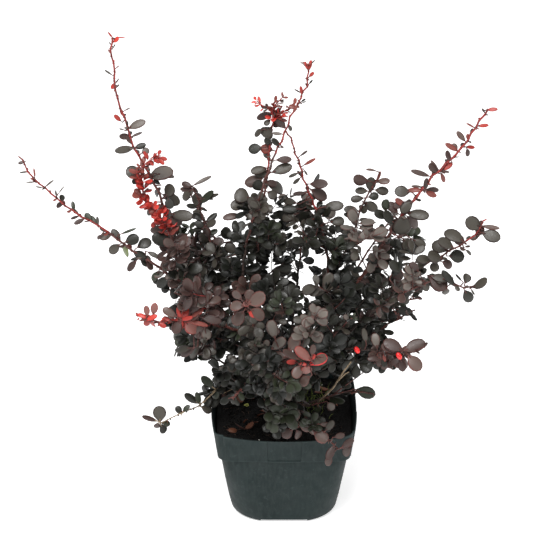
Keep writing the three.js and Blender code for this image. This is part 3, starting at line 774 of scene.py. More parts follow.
def set_courses(shoots):
    """The feet of one whorl's boughs are dealt evenly round the trunk, in the order of their knees."""
    for whorl, (height, ring) in WHORLS.items():
        members = [shoot for shoot in shoots if shoot.whorl == whorl]
        headings = {shoot.name: math.atan2(shoot.knee[1], shoot.knee[0]) for shoot in members}
        members.sort(key=lambda shoot: headings[shoot.name])
        step = 2 * math.pi / len(members)
        start = sum(headings[shoot.name] - i * step for i, shoot in enumerate(members)) / len(members)
        for i, shoot in enumerate(members):
            angle = start + i * step
            level = SOIL_LEVEL + height
            shoot.set_course(np.array([ring * math.cos(angle), ring * math.sin(angle), level]))
    for shoot in shoots:
        others = [other for other in shoots if other is not shoot]
        shoot.other_stems = np.concatenate([other.stem_points for other in others])
        shoot.other_boughs = np.concatenate([other.bough_points for other in others])


# Room for a twig or a spray


def nearest(places, points):
    gaps = np.linalg.norm(np.atleast_2d(places)[:, None] - points[None], axis=2)
    return gaps.min(axis=1)


def clear_of_pot(places):
    side = np.maximum(np.abs(places[:, 0]), np.abs(places[:, 1]))
    outside = (places[:, 2] > POT_HEIGHT + CLEARANCE) | (side > RIM_HALF + RIM_BOW + CLEARANCE)
    above_ground = places[:, 2] > GROUND_CLEARANCE
    inside = (side < WALL_HALF - WALL_CLEARANCE) & (places[:, 2] > SOIL_LEVEL + CLEARANCE)
    return np.where(outside, above_ground, inside)


def clear_of_trunk(places):
    near = np.hypot(places[:, 0], places[:, 1]) < TRUNK_RADIUS + TRUNK_FLARE + CLEARANCE
    return ~(near & (places[:, 2] < SOIL_LEVEL + TRUNK_HEIGHT + TRUNK_CLEARANCE))


def in_space(places, shoot):
    """True if every place is nearer to the shoot's own stem than to any other, clear of pot and limbs."""
    places = np.atleast_2d(places)
    if not (clear_of_pot(places).all() and clear_of_trunk(places).all()):
        return False
    if nearest(places, shoot.bough_points).min() <= STEM_ROOT_RADIUS + OWN_BOUGH_CLEARANCE:
        return False
    if nearest(places, shoot.other_boughs).min() <= STEM_ROOT_RADIUS + OTHER_BOUGH_CLEARANCE:
        return False
    own = nearest(places, shoot.stem_points)
    return bool((nearest(places, shoot.other_stems) > own + SPACE_MARGIN).all())


# Growth


def dice(seed):
    """Even numbers from 0 up to 1, the same ones as in the CAD source."""
    state = seed & 0xFFFFFFFF

    def draw():
        nonlocal state
        state = (state * 1664525 + 1013904223) & 0xFFFFFFFF
        return state / 4294967296

    return draw


def leaning(way, tilt, turn):
    side = unit(np.cross(way, UP))
    return way * math.cos(tilt) + turned(side, way, turn) * math.sin(tilt)


def face_for(along, place, roll):
    """The face of a leaf is turned up and out of the crown as far as its direction lets it."""
    face = unit(np.array([place[0], place[1], 0.0])) * 0.8 + UP
    face = unit(face - along * np.dot(along, face))
    return turned(face, along, roll)


class Spray:
    """One leaf of the CAD source: where a thin twig with a rosette of real leaves stands."""

    def __init__(self, shoot, limb, share, foot, along, face, length, small):
        self.shoot, self.limb, self.share, self.small = shoot, limb, share, small
        self.foot, self.along, self.face, self.length = foot, along, face, length


class Mass:
    """The side twigs and sprays of one shoot, grown by the rule and the dice of the CAD source."""

    def __init__(self, shoot):
        self.shoot = shoot
        self.draw = dice(100 * (shoot.index + 1) + (shoot.name in RESEEDED))
        self.middles = []
        self.sprays = []
        self.twigs = []

    def add_spray(self, limb, share, turn, stem_share, length=None, small=False):
        """The first turn with room for the spray is taken. Its length is drawn where none is given."""
        if length is None:
            length = SPRAY_LENGTH * (SPRAY_SIZES[0] + SPRAY_SIZES[1] * self.draw())
        way = limb.way(share)
        roll = (self.draw() - 0.5) * SPRAY_ROLL
        for further in SPRAY_TURNS:
            along = unit(leaning(way, SPRAY_SPREAD, turn + further))
            foot = limb.point(share) - along * SPRAY_SUNK
            face = face_for(along, foot, roll)
            middle = foot + along * length * SPRAY_WIDEST
            side = np.cross(along, face) * length / 3
            corners = [foot + along * length, middle + side, middle - side, foot + along * length * 0.3]
            room = SPRAY_ROOM * length / SPRAY_LENGTH
            if self.middles and nearest(middle, np.array(self.middles))[0] <= room:
                continue
            if in_space(corners, self.shoot):
                self.middles.append(middle)
                self.sprays.append(Spray(self.shoot, limb, stem_share, foot, along, face, length, small))
                return

    def fit_twig(self, share, turn, length):
        """A side twig leans out of its stem and is turned up a little. The first that fits is taken."""
        shoot = self.shoot
        start = shoot.stem.point(share)
        for cut in TWIG_CUTS:
            for further in TWIG_TURNS:
                out = leaning(shoot.stem.way(share), TWIG_TILT, turn + further)
                end = start + out * length * cut + UP * length * cut * TWIG_LIFT
                twig = Straight(start, end, share)
                if in_space([twig.point(i / 4) for i in range(1, 5)], shoot):
                    return twig
        return None

    def grow(self):
        self.grow_twigs()
        shoot, stem = self.shoot, self.shoot.stem
        count = round(stem.length * shoot.full / STEM_SPRAY_GAP)
        for k in range(count):
            share = (k + 0.2) / count * shoot.full
            self.add_spray(stem, share, k * GOLDEN + shoot.index + 1.5, share)
        count = max(1, round(stem.length * shoot.bare / TIP_SPRAY_GAP))
        for k in range(count):
            along = (k + 0.5) / count
            share = shoot.full + shoot.bare * along
            length = SPRAY_LENGTH * (0.7 - 0.35 * along)
            self.add_spray(stem, share, k * GOLDEN + shoot.index, share, length, True)
        for share, turn in TIP_SPRAYS:
            self.add_spray(stem, share, shoot.index + turn, share, SPRAY_LENGTH * TIP_SPRAY_SIZE, True)

    def grow_twigs(self):
        shoot = self.shoot
        count = max(2, round(shoot.stem.length * shoot.full / TWIG_GAP))
        for k in range(count):
            share = (k + 0.4) / count * shoot.full
            turn = k * GOLDEN + shoot.index + (self.draw() - 0.5) * 0.7
            taper = 1 - TWIG_TAPER * k / count
            reach = shoot.spread * taper * (TWIG_SIZES[0] + TWIG_SIZES[1] * self.draw())
            twig = self.fit_twig(share, turn, reach)
            if twig is None:
                continue
            self.twigs.append(twig)
            sprays = [*TWIG_SPRAYS, FOURTH_SPRAY] if reach > FOUR_LEAF_TWIG else TWIG_SPRAYS
            for along, further in sprays:
                self.add_spray(twig, along, turn + further, share)


class Straight:
    """A straight side twig, read as a limb is. share is its place on the leafy stem."""

    def __init__(self, start, end, share):
        self.start, self.end, self.share = start, end, share
        self.direction = unit(end - start)
        self.dressed = False

    def point(self, share):
        return self.start + (self.end - self.start) * share

    def way(self, share):
        return self.direction


# What is placed by a pixel of the photograph

CAMERA_BACK = np.array([0.0, -math.cos(CAMERA_ELEVATION), math.sin(CAMERA_ELEVATION)])
CAMERA_UP = np.array([0.0, math.sin(CAMERA_ELEVATION), math.cos(CAMERA_ELEVATION)])
CAMERA_PLACE = (np.array(CAMERA_AIM) + CAMERA_BACK * CAMERA_DISTANCE) / MM


def pixel_of(place):
    """Where a place in millimetres shows in the photograph."""
    off = place - CAMERA_PLACE
    scale = FOCAL_PIXELS / -np.dot(off, CAMERA_BACK)
    return IMAGE_SIDE / 2 + off[0] * scale, IMAGE_SIDE / 2 - np.dot(off, CAMERA_UP) * scale


def ray_through(x, y):
    right = (x - IMAGE_SIDE / 2) / FOCAL_PIXELS
    rise = (IMAGE_SIDE / 2 - y) / FOCAL_PIXELS
    return -CAMERA_BACK + np.array([right, 0, 0]) + CAMERA_UP * rise


def seen_at(x, y, depth):
    """The place that shows at a pixel and has the given Y in millimetres."""
    ray = ray_through(x, y)
    return CAMERA_PLACE + ray * (depth - CAMERA_PLACE[1]) / ray[1]


def seen_on_peat(x, y):
    ray = ray_through(x, y)
    return CAMERA_PLACE + ray * (SOIL_LEVEL - 1 - CAMERA_PLACE[2]) / ray[2]


def in_the_open(place):
    x, y = pixel_of(place)
    if any(place[1] < depth and math.hypot(x - px, y - py) < radius for px, py, radius, depth in IN_SIGHT):
        return True
    return any(math.hypot(x - px, y - py) < radius for px, py, radius in OPEN)


def placed_there(shoot, place):
    """True where a shoot's leaves are placed one by one."""
    if shoot.name not in PLACED:
        return False
    x, y = pixel_of(place)
    left, top, right, bottom = PLACED[shoot.name]
    return left < x < right and top < y < bottom


def carrier(shoot, x, y):
    """The place on a shoot's stem that shows nearest to a pixel."""
    places = [shoot.place(share) for share in np.linspace(shoot.leafy, 1, STEM_POINTS)]
    return min(places, key=lambda place: math.dist(pixel_of(place), (x, y)))


# Dressing: stems, twigs, spines and leaves of real size

BEST_SIDE = np.array([0.0, -1.0, 0.0])  # the side that the plant's leaves turn to a little
LEAF_SPREAD = np.array([1.0, 0.75, 0.72])  # leaves reach out sideways more than forwards or upwards
LEAF_PROBES = (0.45, 0.75, 1.0)  # where along a blade its room is tried
LEAF_WIDTH = 0.6
LEAF_FOLD = (0.0, 0.28)
LEAF_ROLL = (0.15, 0.45)
LEAF_CURL = (0.0, 0.5)
LEAF_SIZES = (0.62, 1.12)  # the sizes of the leaves in one rosette
NODE_SWELLING = 1.25
ZIGZAG = 0.9
TWIG_DROOP = 1.2
SPRAY_TWIG = 0.55  # the length of a spray's own twig, as a share of the spray's
SPRAY_TWIG_RADII = (0.62, 0.45)

# Painted shade: where the crown's leaves are darkest and how far that reaches, in millimetres, and below
# which height they darken; painted light: above which height they are palest
PAINTED_SHADE_MIDDLE = 250
PAINTED_SHADE_REACH = (200, 150, 230)
PAINTED_SHADE_BELOW = 290
PAINTED_SHADE_DEPTH = 90
PAINTED_SHADE_SHARE = 0.32
PAINTED_LIGHT_ABOVE = 320
FLUSHED_AND_SHADE_BEFORE = 60

# The tints of the crown from the inside out, with their weights: the dark inner and middle ones are painted
# shade, the pale upper ones painted light
PAINTED_SHADE_INNER_TINTS = (("shade", "charcoal", "olive"), (5, 4, 2))
PAINTED_SHADE_MIDDLE_TINTS = (("charcoal", "slate", "shade", "olive", "wine"), (5, 3, 4, 1, 1))
OUTER_TINTS = (("slate", "ash", "charcoal", "wine", "olive", "plum", "shade"), (5, 1, 5, 1, 3, 1, 2))
PAINTED_LIGHT_UPPER_TINTS = (("slate", "charcoal", "ash", "stone", "wine", "plum"), (5, 1, 6, 2, 2, 1))

leaves = {tint: Parts() for tint in TINTS}
stems = {kind: Parts() for kind in ("dark", "brown", "red", "pale")}
spines = Parts()
chance = random.Random(7)


def vary(value, spread):
    return value * (1 + chance.uniform(-spread, spread))


def any_way():
    """An even random direction."""
    return unit(np.array([chance.gauss(0, 1) for _ in range(3)]))


def facing(along, place, axis):
    """The upper side of a leaf: up, out of the crown, to the plant's best side, and turned by chance."""
    loose = any_way()
    outward = unit(np.array([place[0], place[1], 0.0]))
    face = axis * 0.2 + outward * 0.35 + BEST_SIDE * 0.42 + UP * 0.62 + loose * 0.55
    return unit(face - along * np.dot(face, along))


def put_leaf(tint, foot, along, face, length, slim=1.0, anywhere=False):
    """Adds one leaf, unless its blade would reach into pot, peat or trunk, or into an opening."""
    along = unit(along)
    face = unit(face - along * np.dot(face, along))
    probes = foot + np.outer(LEAF_PROBES, along) * length
    if not (clear_of_pot(probes).all() and clear_of_trunk(probes).all()):
        return
    if not anywhere and (in_the_open(probes[0]) or in_the_open(probes[2])):
        return
    width = length * vary(LEAF_WIDTH, 0.1) * slim
    bends = [chance.uniform(*bend) for bend in (LEAF_FOLD, LEAF_ROLL, LEAF_CURL)]
    add_leaf(leaves[tint], (foot, along, face, length, width, *bends))


def draw_tint(shoot, share, place):
    """The colour of one spray: redder on the young ends, darkest inside the crown and low down as painted
    shade, and paler high up as painted light.
    """
    young, kinds = YOUNG.get(shoot.name, (2, ()))
    if share > young:
        return chance.choice(kinds)
    x, y = pixel_of(place)
    # Flushed patches give red tints; the dark patches low in front are painted shade.
    for px, py, radius, kinds in FLUSHED_AND_PAINTED_SHADE:
        if place[1] < FLUSHED_AND_SHADE_BEFORE and math.hypot(x - px, y - py) < radius:
            return chance.choice(kinds)
    # Painted shade inside the crown and low down, painted light high up.
    wide, deep, high = PAINTED_SHADE_REACH
    out = math.hypot(place[0] / wide, place[1] / deep, (place[2] - PAINTED_SHADE_MIDDLE) / high)
    out += chance.uniform(-0.14, 0.14)
    out -= PAINTED_SHADE_SHARE * min(1.0, max(0.0, (PAINTED_SHADE_BELOW - place[2]) / PAINTED_SHADE_DEPTH))
    if out < 0.4:
        return chance.choices(*PAINTED_SHADE_INNER_TINTS)[0]
    if out < 0.62:
        return chance.choices(*PAINTED_SHADE_MIDDLE_TINTS)[0]
    return chance.choices(*(OUTER_TINTS if place[2] < PAINTED_LIGHT_ABOVE else PAINTED_LIGHT_UPPER_TINTS))[0]


def rosette(tint, place, axis, count, length, tilt=(0.45, 1.25), slim=1.0, anywhere=False):
    """Leaves of uneven size in a fan round a node."""
    axis = unit(axis)
    side = unit(np.cross(axis, UP + np.array([0.02, 0.01, 0])))
    other = np.cross(axis, side)
    start = chance.uniform(0, 2 * math.pi)
    for k in range(count):
        turn = start + 2 * math.pi * k / count + chance.uniform(-0.35, 0.35)
        lean = chance.uniform(*tilt)
        out = side * math.cos(turn) + other * math.sin(turn)
        along = unit((axis * math.cos(lean) + out * math.sin(lean)) * LEAF_SPREAD)
        size = length * chance.uniform(*LEAF_SIZES)
        put_leaf(tint, place, along, facing(along, place, axis), size, slim, anywhere)


def bent_line(start, end, sag, steps):
    """A twig's line: it leaves flatter and turns up to its end."""
    share = np.linspace(0, 1, steps)[:, None]
    return start + (end - start) * share + UP * -sag * np.sin(share * math.pi)


def bark_kind(shoot, share):
    if shoot.name == "left_sprig":
        return "pale"
    red = RED_BARK_FROM.get(shoot.name, 2)
    if share > red:
        return "red"
    return "brown" if share > min(red, 0.9) - 0.35 else "dark"


def add_spine(place, way):
    """A thin spine, three-sided, from the bark to its point."""
    length = chance.uniform(*SPINE_LENGTH)
    add_tube(spines, [place, place + way * length * 0.5, place + way * length], SPINE_RADII, 3)


def tip_size(shoot, ends):
    """The length of the leaves at a share of the bare part, from its foot to the shoot's tip."""
    base, tip, _ = TIP_LEAVES.get(shoot.name, PLAIN_TIP)
    return tip + (base - tip) * (1 - max(0.0, ends) ** 2)


def dress_spray(spray):
    """The spray's own twig, with a rosette at its end and pairs of leaves along it."""
    shoot = spray.shoot
    foot = spray.foot + shoot.hang(shoot.whole(spray.share))
    if placed_there(shoot, foot) or not (spray.limb is shoot.stem or spray.limb.dressed):
        return
    tint = draw_tint(shoot, spray.share, foot)
    if spray.small:
        size = tip_size(shoot, (spray.share - shoot.full) / shoot.bare)
        if size > 0:
            rosette(tint, foot, spray.along, 2, size, tilt=(0.1, 0.7), slim=0.85)
        return
    length = chance.uniform(*LEAF_LENGTH) * (0.6 + 0.4 * spray.length / SPRAY_LENGTH)
    end = foot + spray.along * spray.length * SPRAY_TWIG
    line = bent_line(foot, end, 0.8, 5)
    if in_the_open(end) or in_the_open(end + spray.along * 10):
        return
    add_tube(stems[bark_kind(shoot, spray.share + 0.1)], line, np.linspace(*SPRAY_TWIG_RADII, 5), 5)
    rosette(tint, end, spray.along, chance.randint(3, 4), length * 0.95)
    put_leaf(tint, end, spray.along, spray.face, length * 0.95)
    for node in (1, 2, 3):
        rosette(tint, line[node], spray.along, 2, length * 0.92, tilt=(0.75, 1.35))


def node_shares(shoot, first_bare):
    """Where a shoot has its nodes: closer together on its bare part, and one at its tip."""
    shares = [shoot.leafy]
    while shares[-1] < 1:
        gap = DENSE.get(shoot.name, NODE_GAP)
        if shares[-1] > first_bare:
            gap = 6 + 0.35 * tip_size(shoot, (shares[-1] - first_bare) / (1 - first_bare))
        shares.append(shares[-1] + vary(gap, 0.2) / shoot.course.length)
    shares[-1] = 1.0
    return shares


def dress_stem(shoot):
    """The stem zigzags a little from node to node, with a spine and a few leaves at each node."""
    first_bare = shoot.whole(shoot.full)
    shares = node_shares(shoot, first_bare)
    nodes = []
    for k, share in enumerate(shares):
        way = shoot.way(share)
        side = turned(unit(np.cross(way, UP)), way, shoot.index)
        swing = ZIGZAG * (1 if k % 2 else -1) * min(1, k / 3) * (1 if share < 1 else 0)
        nodes.append(shoot.place(share) + side * swing)
    stout = STOUT.get(shoot.name, 1)
    for k, share in enumerate(shares[:-1]):
        start, end = radius_at(share) * stout, radius_at(shares[k + 1]) * stout
        line = [nodes[k] + (nodes[k + 1] - nodes[k]) * s for s in (0, 0.25, 0.85, 1)]
        radii = (start * NODE_SWELLING, start, end, end * NODE_SWELLING)
        add_tube(stems[bark_kind(shoot, shoot.on_stem(share))], line, radii, 7)
        if k > 0:
            dress_node(shoot, k, share, nodes[k], first_bare)
    if tip_size(shoot, 1) > 0 and not placed_there(shoot, nodes[-1]):
        tint = draw_tint(shoot, 1, nodes[-1])
        rosette(tint, nodes[-1], shoot.way(1), 4, max(8, tip_size(shoot, 1)), tilt=(0.3, 1.2), slim=0.75)


def dress_node(shoot, k, share, place, first_bare):
    """A spine, and leaves by the shoot's part: one where the others are placed, a rosette, or small ones."""
    way = shoot.way(share)
    turn = k * GOLDEN * 1.7 + shoot.index
    out = leaning(way, 1.25, turn)
    if chance.random() < 0.75:
        add_spine(place, unit(out + way * 0.1))
    along_leafy = shoot.on_stem(share)
    tint = draw_tint(shoot, along_leafy, place)
    axis = unit(way * 0.5 + leaning(way, 1.1, turn + 0.5))
    small = tip_size(shoot, (share - first_bare) / (1 - first_bare))
    if placed_there(shoot, place):
        aside = BEST_SIDE if k % 2 else -BEST_SIDE
        put_leaf(tint, place, unit(way * 0.6 + aside), UP + out * 0.3, max(4, small * 0.62), 0.8, True)
    elif share < first_bare:
        length = chance.uniform(*LEAF_LENGTH) * (0.95 - 0.15 * along_leafy)
        rosette(tint, place, axis, chance.randint(3, 4), length, tilt=(0.2, 1.3))
    elif small > 0:
        count = TIP_LEAVES.get(shoot.name, PLAIN_TIP)[2]
        count = chance.randint(max(1, count - 1), count)
        rosette(tint, place, axis, count, vary(small, 0.15), tilt=(0.1, 0.7), slim=0.82)


def dress_twig(shoot, twig):
    """A side twig with a rosette at each of its nodes, left out where it would cross an opening."""
    hang = shoot.hang(shoot.whole(twig.share))
    line = bent_line(twig.start + hang, twig.end + hang, TWIG_DROOP, 6)
    beyond = line[5] + twig.direction * 12
    if any(in_the_open(place) for place in (line[3], line[5], beyond)) or placed_there(shoot, line[5]):
        return
    twig.dressed = True
    kind = bark_kind(shoot, twig.share - 0.2)
    add_tube(stems[kind], line, np.linspace(TWIG_RADIUS, TWIG_TIP_RADIUS, 6), 5)
    nodes = max(1, round(float(np.linalg.norm(twig.end - twig.start)) / NODE_GAP))
    for k in range(nodes):
        place = twig.point((k + 0.7) / nodes) + hang
        tint = draw_tint(shoot, twig.share, place)
        axis = leaning(twig.direction, 0.9, k * GOLDEN + shoot.index)
        size = chance.uniform(*LEAF_LENGTH) * 0.9
        rosette(tint, place, axis, 3, size, tilt=(0.3, 1.2))
        if chance.random() < 0.6:
            add_spine(place, leaning(twig.direction, 1.2, k * 2.0 + 1))


shoots = [Shoot(index, row) for index, row in enumerate(SHOOTS)]
set_courses(shoots)
for shoot in shoots:
    mass = Mass(shoot)
    mass.grow()
    dress_stem(shoot)
    for twig in mass.twigs:
        dress_twig(shoot, twig)
    for spray in mass.sprays:
        dress_spray(spray)

# Sprigs, leaves and fruits that the photograph shows one by one

# One row for each sprig of young red leaves: its shoot, its pixels from foot to end, how much nearer its end
# stands, its tints, the length of its leaves at foot and end, the leaves at a node and the gap between nodes
SPRIGS = [
    ("left_tall",
     ((169, 238), (162, 219), (154, 208), (142, 198), (144, 184), (138, 172), (148, 161), (158, 157)),
     14, ("coral", "ember", "russet", "coral"), (14, 12.5), 6, 7),
    ("centre_left", ((276, 122), (276, 110), (265, 108), (257, 101)),
     6, ("russet", "coral", "wine"), (14, 8), 4, 6),
    ("centre_left", ((276, 122), (272, 108), (282, 98)), 10, ("coral", "wine", "russet"), (14, 8), 4, 6),
    ("centre_left", ((276, 122), (283, 112), (294, 106)), 8, ("russet", "wine", "coral"), (14, 9), 4, 6),
    ("left_red", ((180, 320), (165, 320), (158, 323), (148, 318), (140, 317)),
     8, ("coral", "ember"), (8, 7), 3, 9),
]
SPRIG_RADII = (0.95, 0.6)
SPRIG_TILT = (0.4, 1.3)
SMALL_LEAF = 13
SMALL_SLIM = 0.7

